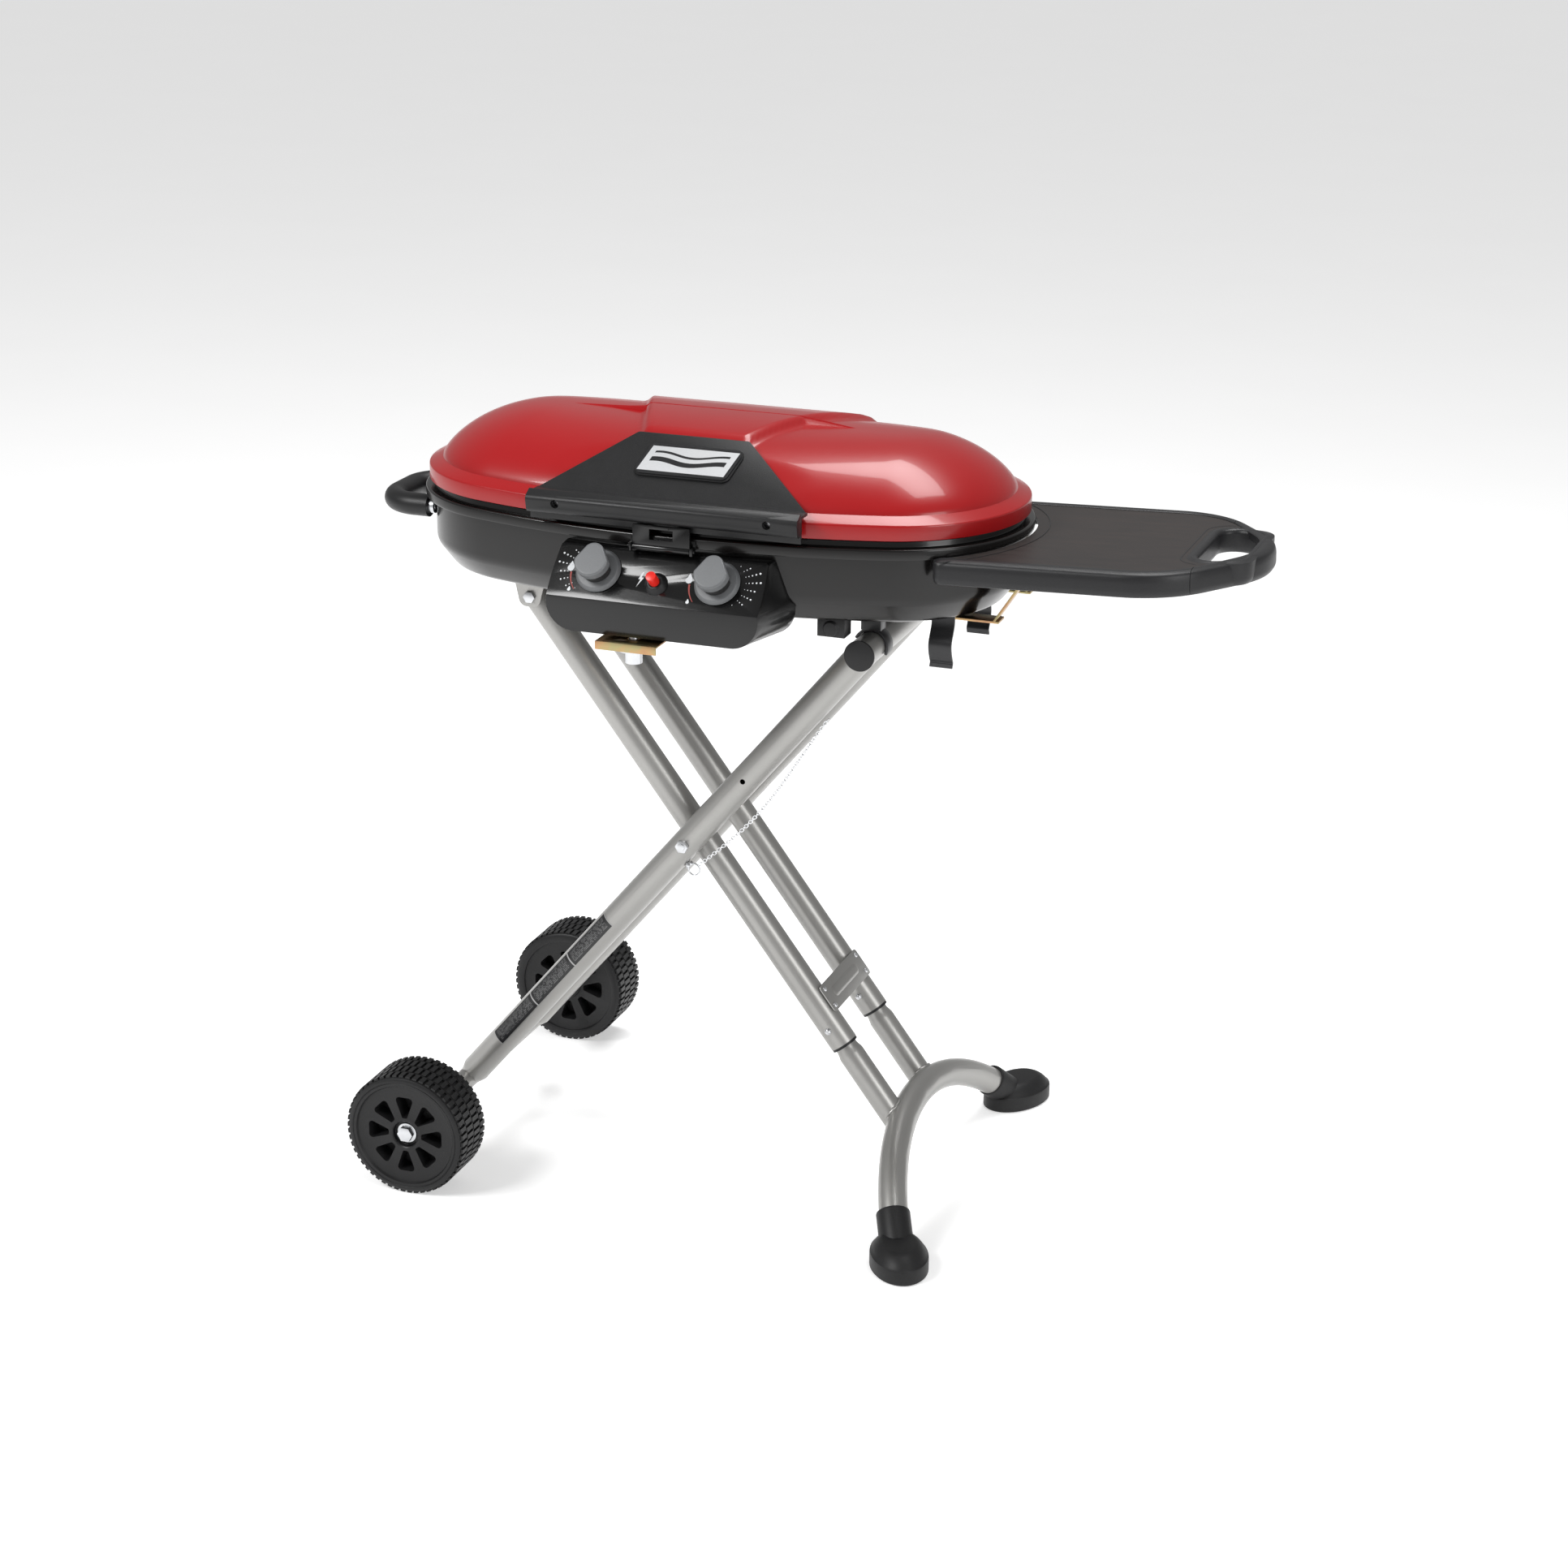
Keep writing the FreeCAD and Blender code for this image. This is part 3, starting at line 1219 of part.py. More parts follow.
def make_chain():
    """Stand-in for the tether chain: one round bar along its route."""
    points = chain_points()
    edges, start, bends = [], points[0], []
    for i in range(1, len(points) - 1):
        before, after = points[i - 1] - points[i], points[i + 1] - points[i]
        half = before.getAngle(after) / 2
        cut = 0.45 * min(before.Length, after.Length)
        bend = cut * math.tan(half)
        bends.append(round(bend))
        to_middle = (Vec(before).normalize() + Vec(after).normalize()).normalize()
        first = points[i] + Vec(before).normalize() * cut
        last = points[i] + Vec(after).normalize() * cut
        middle = points[i] + to_middle * (bend / math.sin(half) - bend)
        edges += [Part.makeLine(start, first), Part.Arc(first, middle, last).toShape()]
        start = last
    edges.append(Part.makeLine(start, points[-1]))
    print("bend radii of the tether chain, mm:", bends)
    section = Part.Wire([Part.Circle(points[0], points[1] - points[0], chain_radius).toShape()])
    return solid(Part.Wire(edges).makePipeShell([section], True, False))


def make_wheel(side):
    """Moulded wheel: tread ring, wedge pockets in both faces, and a hub with its bore."""
    out = Y_AXIS * side
    inner = axle + out * wheel_inner_face_y
    outer = inner + out * wheel_width
    edge = cone(outer - out * 4, outer, wheel_radius, wheel_radius - 4)
    wheel = fuse(rod(inner, outer - out * 4, wheel_radius), edge)
    wheel = wheel.cut(rod(outer - out * wheel_dish, outer + out, wheel_rim_radius))
    wheel = wheel.cut(rod(inner - out, inner + out * wheel_dish, wheel_rim_radius))
    wheel = fuse(wheel, rod(inner + out * 0.5, inner + out * (wheel_dish + 1), wheel_hub_radius))
    wheel = wheel.cut(rod(outer + out, outer - out * hub_recess, wheel_hub_radius))
    wheel = wheel.cut(rod(inner - out * 9, outer + out * 9, axle_radius + running))
    for i in range(wheel_pockets):
        middle = math.radians(90 + 360 * i / wheel_pockets)
        for face, into in ((outer + out, out * -1), (inner - out, out)):
            wheel = wheel.cut(wheel_pocket(face, into * (1 + wheel_dish + pocket_depth), middle))
    return solid(wheel)


def wheel_pocket(face, depth, middle):
    """Wedge between two spokes, from a level just outside the wheel's face."""
    half = math.radians(pocket_angle / 2)

    def corner(radius, angle):
        return face + Vec(radius * math.cos(angle), 0, radius * math.sin(angle))
    inside, outside = wheel_hub_radius + 7, wheel_rim_radius - 6
    corners = [corner(inside, middle - half), corner(outside, middle - half),
               corner(outside, middle + half), corner(inside, middle + half)]
    return prism(corners, [2, 4, 4, 2], depth)


# ---- build and save -----------------------------------------------------------------
nodes = {
    "firebox": make_firebox(),
    "firebox_rim": make_rim(),
    "grease_tray": make_tray(),
    "left_grate": make_grate(-1),
    "right_grate": make_grate(1),
    "burners": Part.makeCompound([make_burner(-1), make_burner(1)]),
    "gas_rail": make_gas_rail(),
    "valves": pair(make_valve),
    "regulator": make_regulator(),
    "regulator_bracket": make_regulator_bracket(),
    "control_panel": make_panel(),
    "igniter_socket": make_igniter_socket(),
    "igniter_module": make_igniter_module(),
    "igniter_button": make_igniter_button(),
    "left_knob_skirt": make_knob_skirt(-1),
    "left_knob_body": make_knob_body(-1),
    "left_knob_cap": make_knob_cap(-1),
    "right_knob_skirt": make_knob_skirt(1),
    "right_knob_body": make_knob_body(1),
    "right_knob_cap": make_knob_cap(1),
    "lid_shell": make_lid_shell(),
    "lid_plate": make_lid_plate(),
    "lid_grip": make_lid_grip(),
    "lid_screws": make_lid_screws(),
    "badge": make_badge(),
    "hinge_bases": make_hinge_bases(),
    "hinge_leaves": make_hinge_leaves(),
    "hinge_pins": make_hinge_pins(),
    "latch_bracket": make_latch_bracket(),
    "latch_flap": make_latch_flap(),
    "table_top": make_table_top(),
    "table_frame": make_table_frame(),
    "table_grip": make_table_grip(),
    "table_brackets": make_table_brackets(),
    "carry_handle": make_carry_handle(),
    "carry_bolts": make_carry_bolts(),
    "leg_bracket": make_leg_bracket(),
    "leg_clip": make_leg_clip(),
    "clip_box": make_clip_box(),
    "storage_hooks": make_storage_hooks(),
    "leg_bolts": make_leg_bolts(),
    "inner_tubes": make_inner_tubes(),
    "inner_collars": make_collars(),
    "tie_plate": make_tie_plate(),
    "tie_rivets": make_tie_rivets(),
    "foot_legs": make_foot_legs(),
    "foot_bow": make_foot_bow(),
    "rubber_feet": make_feet(),
    "front_spring_button": make_spring_button(-1),
    "rear_spring_button": make_spring_button(1),
    "outer_tubes": make_outer_tubes(),
    "cross_tube": make_cross_tube(),
    "end_caps": make_end_caps(),
    "axle_tube": make_axle_tube(),
    "axle_bolts": make_axle_bolts(),
    "crossing_bolts": make_crossing_bolts(),
    "lock_pin": make_lock_pin(),
    "tether_chain": make_chain(),
    "front_wheel": make_wheel(-1),
    "rear_wheel": make_wheel(1),
}

grill_left_x = nodes["carry_handle"].optimalBoundingBox(False, False).XMin
grill_right_x = nodes["table_grip"].optimalBoundingBox(False, False).XMax
to_origin = Vec(-(grill_left_x + grill_right_x) / 2, 0, 0)
os.makedirs("parts", exist_ok=True)
for name, shape in nodes.items():
    shape.translate(to_origin)
    shape.exportStep("parts/" + name + ".step")
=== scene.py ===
import json
import math

import bmesh
import bpy
from mathutils import Matrix, Vector


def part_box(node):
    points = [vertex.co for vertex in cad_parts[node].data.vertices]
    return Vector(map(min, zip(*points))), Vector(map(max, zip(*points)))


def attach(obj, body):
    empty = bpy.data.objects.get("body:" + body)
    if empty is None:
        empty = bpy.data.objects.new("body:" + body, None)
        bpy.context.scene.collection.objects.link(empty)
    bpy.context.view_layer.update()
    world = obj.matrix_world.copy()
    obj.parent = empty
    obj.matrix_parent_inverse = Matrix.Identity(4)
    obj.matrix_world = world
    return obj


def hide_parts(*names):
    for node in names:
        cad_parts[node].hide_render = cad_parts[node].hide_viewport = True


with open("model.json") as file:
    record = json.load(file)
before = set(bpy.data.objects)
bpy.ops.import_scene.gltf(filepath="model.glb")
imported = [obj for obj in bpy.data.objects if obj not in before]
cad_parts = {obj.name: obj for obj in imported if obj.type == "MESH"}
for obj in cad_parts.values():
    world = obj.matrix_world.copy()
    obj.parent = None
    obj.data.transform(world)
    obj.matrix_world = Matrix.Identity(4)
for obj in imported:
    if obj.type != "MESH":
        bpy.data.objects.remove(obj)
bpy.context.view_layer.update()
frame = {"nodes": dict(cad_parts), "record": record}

# Roll-away gas grill. Lengths in this script are millimetres, with x = 0 at the middle
# of the cook box; place() turns them into metres in the frame's own position.

firebox_low, firebox_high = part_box("firebox")
MIDDLE_X = (firebox_low.x + firebox_high.x) / 2
X, Y, Z = Vector((1, 0, 0)), Vector((0, 1, 0)), Vector((0, 0, 1))


def place(point):
    return Vector((point[0] / 1000 + MIDDLE_X, point[1] / 1000, point[2] / 1000))


# ---- camera -------------------------------------------------------------------------
CAMERA_AT = Vector((1222.91, -3213.23, 1645.035))
CAMERA_RIGHT = Vector((0.940140, 0.340677, 0.008698))
CAMERA_UP = Vector((-0.120735, 0.309096, 0.943336))
CAMERA_BACK = Vector((0.318684, -0.887918, 0.331725))

lens = bpy.data.cameras.new("camera")
lens.lens = 75.08
lens.sensor_width = 36.0
lens.clip_end = 50
camera = bpy.data.objects.new("camera", lens)
bpy.context.collection.objects.link(camera)
turn = Matrix((CAMERA_RIGHT, CAMERA_UP, CAMERA_BACK)).transposed()
camera.matrix_world = Matrix.Translation(place(CAMERA_AT)) @ turn.to_4x4()
bpy.context.scene.camera = camera


# ---- materials ----------------------------------------------------------------------
class Wire:
    """A socket in a material; arithmetic on it adds Math nodes."""

    def __init__(self, finish, socket):
        self.finish, self.socket = finish, socket

    def sum(self, other):
        return self.finish.maths("ADD", self, other)

    def less(self, other):
        return self.finish.maths("SUBTRACT", self, other)

    def taken_from(self, other):
        return self.finish.maths("SUBTRACT", other, self)

    def times(self, other):
        return self.finish.maths("MULTIPLY", self, other)

    def above(self, other):
        return self.finish.maths("GREATER_THAN", self, other)

    def below(self, other):
        return self.finish.maths("LESS_THAN", self, other)

    __add__ = __radd__ = sum
    __mul__ = __rmul__ = times
    __sub__, __rsub__ = less, taken_from
    __gt__, __lt__ = above, below


class Finish:
    """One material, built from expressions."""

    def __init__(self, name):
        self.material = bpy.data.materials.new(name)
        self.material.use_nodes = True
        self.tree = self.material.node_tree
        self.tree.nodes.clear()

    def node(self, kind, settings=None, sockets=None, out=0):
        made = self.tree.nodes.new(kind)
        for name, value in (settings or {}).items():
            if name == "stops":
                for i, (at, colour) in enumerate(value):
                    ramp = made.color_ramp.elements
                    stop = ramp[i] if i < 2 else ramp.new(at)
                    stop.position, stop.color = at, (*colour, 1)
            else:
                setattr(made, name, value)
        for key, value in (sockets or {}).items():
            if isinstance(value, Wire):
                self.tree.links.new(value.socket, made.inputs[key])
            else:
                made.inputs[key].default_value = value
        return Wire(self, made.outputs[out])

    def maths(self, operation, first, second=0.0):
        return self.node("ShaderNodeMath", {"operation": operation}, {0: first, 1: second})

    def clamp(self, value):
        return self.node("ShaderNodeClamp", None, {0: value})

    def where(self):
        return self.node("ShaderNodeTexCoord", None, None, "Object")

    def map_of(self, layer):
        return self.node("ShaderNodeUVMap", {"uv_map": layer})

    def axes(self, vector):
        split = self.tree.nodes.new("ShaderNodeSeparateXYZ")
        self.tree.links.new(vector.socket, split.inputs[0])
        return [Wire(self, split.outputs[i]) for i in range(3)]

    def stretched(self, scale, vector=None):
        return self.node("ShaderNodeMapping", None, {0: vector or self.where(), "Scale": scale})

    def noise(self, scale, detail=3.0, rough=0.55, vector=None):
        return self.node("ShaderNodeTexNoise", None, {
            "Vector": vector or self.where(), "Scale": scale, "Detail": detail, "Roughness": rough})

    def ramp(self, factor, *stops):
        return self.node("ShaderNodeValToRGB", {"stops": stops}, {0: factor})

    def blend(self, factor, first, second):
        def four(colour):
            return colour if isinstance(colour, Wire) else (*colour, 1)
        return self.node("ShaderNodeMix", {"data_type": "RGBA"},
                         {0: factor, 6: four(first), 7: four(second)}, 2)

    def bump(self, height, strength, distance):
        return self.node("ShaderNodeBump", None,
                         {"Height": height, "Strength": strength, "Distance": distance})

    def done(self, **sockets):
        """Ends the material with a Principled shader; underscores stand for spaces."""
        names = {key.replace("_", " "): value for key, value in sockets.items()}
        shader = self.node("ShaderNodeBsdfPrincipled", None, names, "BSDF")
        end = self.tree.nodes.new("ShaderNodeOutputMaterial")
        self.tree.links.new(shader.socket, end.inputs[0])
        return self.material


def paint(name, deep, light, rough, metal, coat, coat_rough, patch, peel, peel_size, spread=0.06):
    """Sprayed or stoved paint: slow colour drift, uneven gloss and orange peel."""
    f = Finish(name)
    drift = f.noise(patch, 4)
    colour = f.blend(drift, deep, light)
    wear = f.noise(patch * 6, 5, 0.7)
    return f.done(Base_Color=colour, Roughness=wear * spread + (rough - spread / 2), Metallic=metal,
                  Specular_IOR_Level=0.35,
                  Coat_Weight=coat, Coat_Roughness=coat_rough,
                  Normal=f.bump(f.noise(peel_size, 2), peel, 0.0004))


def moulded(name, deep, light, rough, grain_size, grain, specular=0.4):
    """Textured plastic: fine grain, scuffed gloss and faint mottling."""
    f = Finish(name)
    mottle = f.noise(9, 5, 0.6)
    pebble = f.node("ShaderNodeTexVoronoi", None, {"Vector": f.where(), "Scale": grain_size})
    scuff = f.noise(60, 6, 0.75)
    colour = f.blend(mottle * 0.75 + pebble * 0.35, deep, light)
    return f.done(Base_Color=colour, Roughness=f.clamp(scuff * 0.16 + (rough - 0.08)),
                  Specular_IOR_Level=specular, Normal=f.bump(pebble, grain, 0.0004))


def plated(name, deep, light, rough, patch, scratch):
    """Plated or bare metal: mottled tone with fine drawn scratches."""
    f = Finish(name)
    tone = f.noise(patch, 5, 0.65)
    drawn = f.noise(240, 3, 0.6, f.stretched((1, 14, 14)))
    return f.done(Base_Color=f.blend(tone, deep, light), Metallic=1.0,
                  Roughness=f.clamp(drawn * 0.18 + tone * 0.08 + (rough - 0.1)),
                  Normal=f.bump(drawn, scratch, 0.0003))


def yellow_zinc():
    f = Finish("yellow zinc")
    bands = f.noise(26, 3, 0.6)
    colour = f.ramp(bands, (0.25, (0.34, 0.17, 0.12)), (0.42, (0.46, 0.28, 0.14)),
                    (0.58, (0.36, 0.32, 0.16)), (0.74, (0.42, 0.22, 0.18)))
    return f.done(Base_Color=colour, Metallic=1.0, Roughness=f.noise(90, 4) * 0.2 + 0.22,
                  Normal=f.bump(f.noise(400, 2), 0.08, 0.0003))


def board():
    """Table board: dark brown plastic with a faint drawn grain along its length."""
    f = Finish("table board")
    streak = f.noise(16, 6, 0.65, f.stretched((1, 9, 9)))
    patch = f.noise(7, 3)
    colour = f.ramp(streak * 0.7 + patch * 0.3, (0.30, (0.012, 0.010, 0.0095)),
                    (0.55, (0.020, 0.0155, 0.014)), (0.8, (0.032, 0.022, 0.019)))
    return f.done(Base_Color=colour, Roughness=streak * 0.16 + 0.36, Specular_IOR_Level=0.35,
                  Normal=f.bump(f.noise(900, 2) + streak * 0.5, 0.12, 0.0003))


def flake_silver():
    """Silver powder coat with fine metal flakes."""
    f = Finish("silver paint")
    flake = f.node("ShaderNodeTexVoronoi", None, {"Vector": f.where(), "Scale": 1900.0})
    drift = f.noise(6, 4)
    colour = f.blend(f.clamp(drift * 0.7 + flake * 0.3), (0.27, 0.265, 0.255), (0.40, 0.395, 0.38))
    return f.done(Base_Color=colour, Metallic=0.72, Roughness=flake * 0.10 + drift * 0.06 + 0.30,
                  Coat_Weight=0.25, Coat_Roughness=0.2,
                  Normal=f.bump(f.noise(700, 2), 0.10, 0.0003))


def print_label():
    """Dark label in three panels, with rows of plain dashes standing for small print."""
    f = Finish("leg label")
    across, along, _ = f.axes(f.map_of("label"))
    row = f.maths("FRACT", across * 11)
    dash = f.noise(1.0, 1, 0.5, f.node("ShaderNodeCombineXYZ", None, {
        0: f.maths("FLOOR", across * 11) * 7.3, 1: along * 95}))
    lines = (row > 0.42) * (dash > 0.47) * (across > 0.12) * (across < 0.86)
    panel = f.maths("FRACT", along * 3)
    inside = (panel > 0.06) * (panel < 0.93)
    frame_line = 1 - (panel > 0.012) * (panel < 0.988)
    ink = f.clamp(lines * inside * 0.16 + frame_line * 0.55)
    return f.done(Base_Color=f.blend(ink, (0.010, 0.010, 0.011), (0.62, 0.62, 0.62)),
                  Roughness=ink * 0.1 + 0.32, Normal=f.bump(f.noise(500, 2), 0.05, 0.0002))


def name_plate():
    """Brushed silver plate with a dark border and two plain wave stripes."""
    f = Finish("name plate")
    across, along, _ = f.axes(f.map_of("plate"))
    edge = 1 - (across > 0.035) * (across < 0.965) * (along > 0.09) * (along < 0.91)
    wave = f.maths("SINE", across * 9.0) * 0.07
    middle = f.maths("ABSOLUTE", along - 0.42 - wave)
    upper = f.maths("ABSOLUTE", along - 0.66 - wave)
    stripes = f.clamp((middle < 0.075) + (upper < 0.035)) * (across > 0.10) * (across < 0.90)
    ink = f.clamp(edge + stripes)
    brushed = f.noise(300, 3, 0.6, f.stretched((1, 20, 20)))
    plate = f.blend(brushed, (0.60, 0.61, 0.63), (0.86, 0.87, 0.88))
    return f.done(Base_Color=f.blend(ink, plate, (0.012, 0.012, 0.013)),
                  Metallic=0.55 - ink * 0.5, Roughness=brushed * 0.12 + 0.24)


def printed(name, colour):
    f = Finish(name)
    return f.done(Base_Color=f.blend(f.noise(200, 4), colour, [c * 0.86 for c in colour]),
                  Roughness=f.noise(120, 3) * 0.15 + 0.35)


RED = paint("red paint", (0.25, 0.001, 0.002), (0.32, 0.002, 0.004), 0.3, 0.0, 0.3, 0.06, 5, 0.05, 260)
ENAMEL = paint("black enamel", (0.003, 0.0028, 0.0028), (0.006, 0.005, 0.0046), 0.22, 0.0, 0.12, 0.06,
               6, 0.05, 240)
PLASTIC = moulded("black plastic", (0.006, 0.006, 0.0065), (0.012, 0.012, 0.0125), 0.4, 1300, 0.2, 0.32)
PANEL = paint("panel enamel", (0.003, 0.003, 0.0033), (0.006, 0.006, 0.006), 0.18, 0.0, 0.15, 0.06,
              8, 0.05, 400)
RAIL = moulded("rail plastic", (0.008, 0.008, 0.009), (0.015, 0.015, 0.016), 0.4, 1100, 0.18, 0.34)
BOARD = board()
GREY = moulded("grey plastic", (0.10, 0.104, 0.108), (0.145, 0.15, 0.155), 0.42, 900, 0.10)
KNOB_BLACK = moulded("knob plastic", (0.012, 0.012, 0.012), (0.02, 0.02, 0.02), 0.4, 700, 0.15)
SILVER = flake_silver()
ZINC = plated("zinc plate", (0.50, 0.51, 0.53), (0.72, 0.73, 0.74), 0.28, 60, 0.12)
YELLOW = yellow_zinc()
STEEL = plated("burner steel", (0.30, 0.29, 0.28), (0.48, 0.47, 0.46), 0.38, 30, 0.2)
BRASS = plated("brass", (0.62, 0.46, 0.20), (0.76, 0.60, 0.30), 0.3, 40, 0.1)
CHROME = plated("chain plate", (0.62, 0.63, 0.65), (0.82, 0.83, 0.84), 0.2, 80, 0.05)
IRON = paint("grate enamel", (0.014, 0.014, 0.014), (0.028, 0.027, 0.026), 0.45, 0.0, 0.15, 0.3,
             20, 0.5, 500)
SPRING = paint("spring coat", (0.012, 0.012, 0.013), (0.024, 0.024, 0.026), 0.36, 0.2, 0.2, 0.2,
               20, 0.1, 500)
RUBBER = moulded("rubber", (0.007, 0.007, 0.0075), (0.013, 0.013, 0.0135), 0.48, 500, 0.1, 0.3)
WHEEL = moulded("wheel plastic", (0.007, 0.007, 0.0075), (0.013, 0.013, 0.0135), 0.42, 800, 0.12, 0.3)
BUTTON = moulded("red plastic", (0.55, 0.012, 0.008), (0.68, 0.022, 0.014), 0.3, 600, 0.05)
LABEL = print_label()
PLATE = name_plate()
WHITE_PRINT = printed("white print", (0.72, 0.74, 0.76))
RED_PRINT = printed("red print", (0.32, 0.03, 0.02))


# ---- shaping helpers ----------------------------------------------------------------
def body_of(node):
    for name, members in frame["record"]["behaviour"]["bodies"].items():
        if node in members:
            return name


def finish_mesh(obj, smooth=35.0):
    """Soft shading, with an edge kept hard where faces turn by more than an angle."""
    for polygon in obj.data.polygons:
        polygon.use_smooth = True
    built = bmesh.new()
    built.from_mesh(obj.data)
    limit = math.radians(smooth)
    for edge in built.edges:
        edge.smooth = len(edge.link_faces) == 2 and edge.calc_face_angle(0) < limit
    built.to_mesh(obj.data)
    built.free()
    return obj


def evaluated(obj):
    """The object's mesh with its modifiers applied, in place of the old one."""
    graph = bpy.context.evaluated_depsgraph_get()
    graph.update()
    mesh = bpy.data.meshes.new_from_object(obj.evaluated_get(graph))
    obj.modifiers.clear()
    obj.data = mesh
    return obj


def fix(obj, body, nodes=()):
    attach(obj, body)
    if nodes:
        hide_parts(*nodes)
    return obj


def piece(name, points, faces, material):
    mesh = bpy.data.meshes.new(name)
    mesh.from_pydata([place(p) for p in points], [], faces)
    mesh.materials.append(material)
    obj = bpy.data.objects.new(name, mesh)
    bpy.context.collection.objects.link(obj)
    return obj


def outward(obj):
    """Merges doubled points and turns every face of a closed shell outwards."""
    built = bmesh.new()
    built.from_mesh(obj.data)
    bmesh.ops.remove_doubles(built, verts=built.verts, dist=1e-6)
    bmesh.ops.recalc_face_normals(built, faces=built.faces)
    built.to_mesh(obj.data)
    built.free()
    return obj


def rings(name, loops, material, joined=False, smooth=35.0):
    """Skin over loops of equally many points; the ends are capped unless joined up."""
    count = len(loops[0])
    points = [p for loop in loops for p in loop]
    rows = len(loops) if joined else len(loops) - 1
    faces = []
    for row in range(rows):
        first, second = row * count, ((row + 1) % len(loops)) * count
        for i in range(count):
            j = (i + 1) % count
            faces.append((first + i, first + j, second + j, second + i))
    if not joined:
        faces.append(tuple(range(count)))
        faces.append(tuple(reversed(range((len(loops) - 1) * count, len(loops) * count))))
    return finish_mesh(outward(piece(name, points, faces, material)), smooth)


def cut_by(obj, *cutters):
    for cutter in cutters:
        cut = obj.modifiers.new("cut", "BOOLEAN")
        cut.operation, cut.solver, cut.object = "DIFFERENCE", "EXACT", cutter
        evaluated(obj)
        bpy.data.objects.remove(cutter, do_unlink=True)
    return obj


EASED_SMOOTH = 32.0


def softened(node, material, width):
    """A copy of a CAD node with its edges eased, shown in its place."""
    source = frame["nodes"][node]
    mesh = source.data.copy()
    mesh.materials.clear()
    mesh.materials.append(material)
    obj = bpy.data.objects.new(node + "_eased", mesh)
    bpy.context.collection.objects.link(obj)
    built = bmesh.new()
    built.from_mesh(mesh)
    bmesh.ops.remove_doubles(built, verts=built.verts, dist=2e-6)
    bmesh.ops.dissolve_limit(built, angle_limit=math.radians(1.2), verts=built.verts, edges=built.edges)
    built.to_mesh(mesh)
    built.free()
    if width:
        ease = obj.modifiers.new("ease", "BEVEL")
        ease.width, ease.segments, ease.limit_method = width / 1000, 2, "ANGLE"
        ease.angle_limit = math.radians(38)
        ease.use_clamp_overlap = True
        evaluated(obj)
    finish_mesh(obj, EASED_SMOOTH)
    return fix(obj, body_of(node), (node,))


def rounded(corners, radii, steps=6):
    """Closed outline through corner points, each rounded by its own radius."""
    outline, count = [], len(corners)
    for i in range(count):
        corner = Vector(corners[i])
        before = (Vector(corners[i - 1]) - corner).normalized()
        after = (Vector(corners[(i + 1) % count]) - corner).normalized()
        half = before.angle(after) / 2
        cut = radii[i] / math.tan(half)
        centre = corner + (before + after).normalized() * (radii[i] / math.sin(half))
        first, last = corner + before * cut - centre, corner + after * cut - centre
        sweep = math.pi - 2 * half
        side = 1 if first.cross(last) > 0 else -1
        for k in range(steps + 1):
            angle = side * sweep * k / steps
            c, s = math.cos(angle), math.sin(angle)
            outline.append(centre + Vector((first.x * c - first.y * s, first.x * s + first.y * c)))
    return outline


def hoop(name, path, radius, material, sides):
    """Round bar along a closed path, in millimetres."""
    points, faces, count = [], [], len(path)
    for i, at in enumerate(path):
        run = (path[(i + 1) % count] - path[i - 1]).normalized()
        side = run.cross(Z if abs(run.z) < 0.9 else X).normalized()
        up = side.cross(run)
        for k in range(sides):
            angle = 2 * math.pi * k / sides
            points.append(at + side * (radius * math.cos(angle)) + up * (radius * math.sin(angle)))
        a, b = i * sides, ((i + 1) % count) * sides
        faces += [(a + k, a + (k + 1) % sides, b + (k + 1) % sides, b + k) for k in range(sides)]
    return finish_mesh(outward(piece(name, points, faces, material)), 50)


# ---- plan shape of the cook box and lid ---------------------------------------------
END_X, END_RADIUS, HALF_DEPTH = 185.0, 145.0, 171.0
SIDE_RADIUS = (END_X ** 2 + HALF_DEPTH ** 2 - END_RADIUS ** 2) / (2 * (HALF_DEPTH - END_RADIUS))
SIDE_Y = SIDE_RADIUS - HALF_DEPTH
JOIN = math.atan2(SIDE_Y, END_X)


def oval(outset, z, around=360):
    """Plan outline moved outwards; the same count of points at every outset."""
    ends, loop = int(around * 0.24), []
    sides = around // 2 - ends
    arcs = [(END_X, 0, END_RADIUS, -JOIN, JOIN, ends), (0, -SIDE_Y, SIDE_RADIUS, JOIN, math.pi - JOIN, sides),
            (-END_X, 0, END_RADIUS, math.pi - JOIN, math.pi + JOIN, ends),
            (0, SIDE_Y, SIDE_RADIUS, math.pi + JOIN, 2 * math.pi - JOIN, sides)]
    for x, y, radius, start, end, steps in arcs:
        for k in range(steps):
            angle = start + (end - start) * k / steps
            reach = radius + outset
            loop.append(Vector((x + reach * math.cos(angle), y + reach * math.sin(angle), z)))
    return loop


def oval_rings(levels, around=360):
    return [oval(outset, z, around) for outset, z in levels]


def eased(corners, radius, steps=3):
    """Profile of (outset, z) pairs with its corners rounded; the ends stay."""
    profile = [corners[0]]
    for before, corner, after in zip(corners, corners[1:], corners[2:]):
        at = Vector(corner)
        back, on = Vector(before) - at, Vector(after) - at
        cut = min(radius, back.length * 0.45, on.length * 0.45)
        first, last = at + back.normalized() * cut, at + on.normalized() * cut
        for k in range(steps + 1):
            t = k / steps
            profile.append(tuple(first * (1 - t) ** 2 + at * (2 * t * (1 - t)) + last * t ** 2))
    return profile + [corners[-1]]


# ---- cook box -----------------------------------------------------------------------


def make_firebox():
    outside = eased([(-60, 680), (-20, 680), (0, 706), (0, 754.9), (0, 757)], 6)
    inside = eased([(-1.6, 757), (-1.6, 754), (-1.6, 706.6), (-21, 681.6), (-60, 681.6)], 4)
    loops = oval_rings([(-140, 680)] + outside + inside + [(-140, 681.6)])
    return fix(rings("firebox_shell", loops, ENAMEL, smooth=30), "cook_box", ("firebox",))


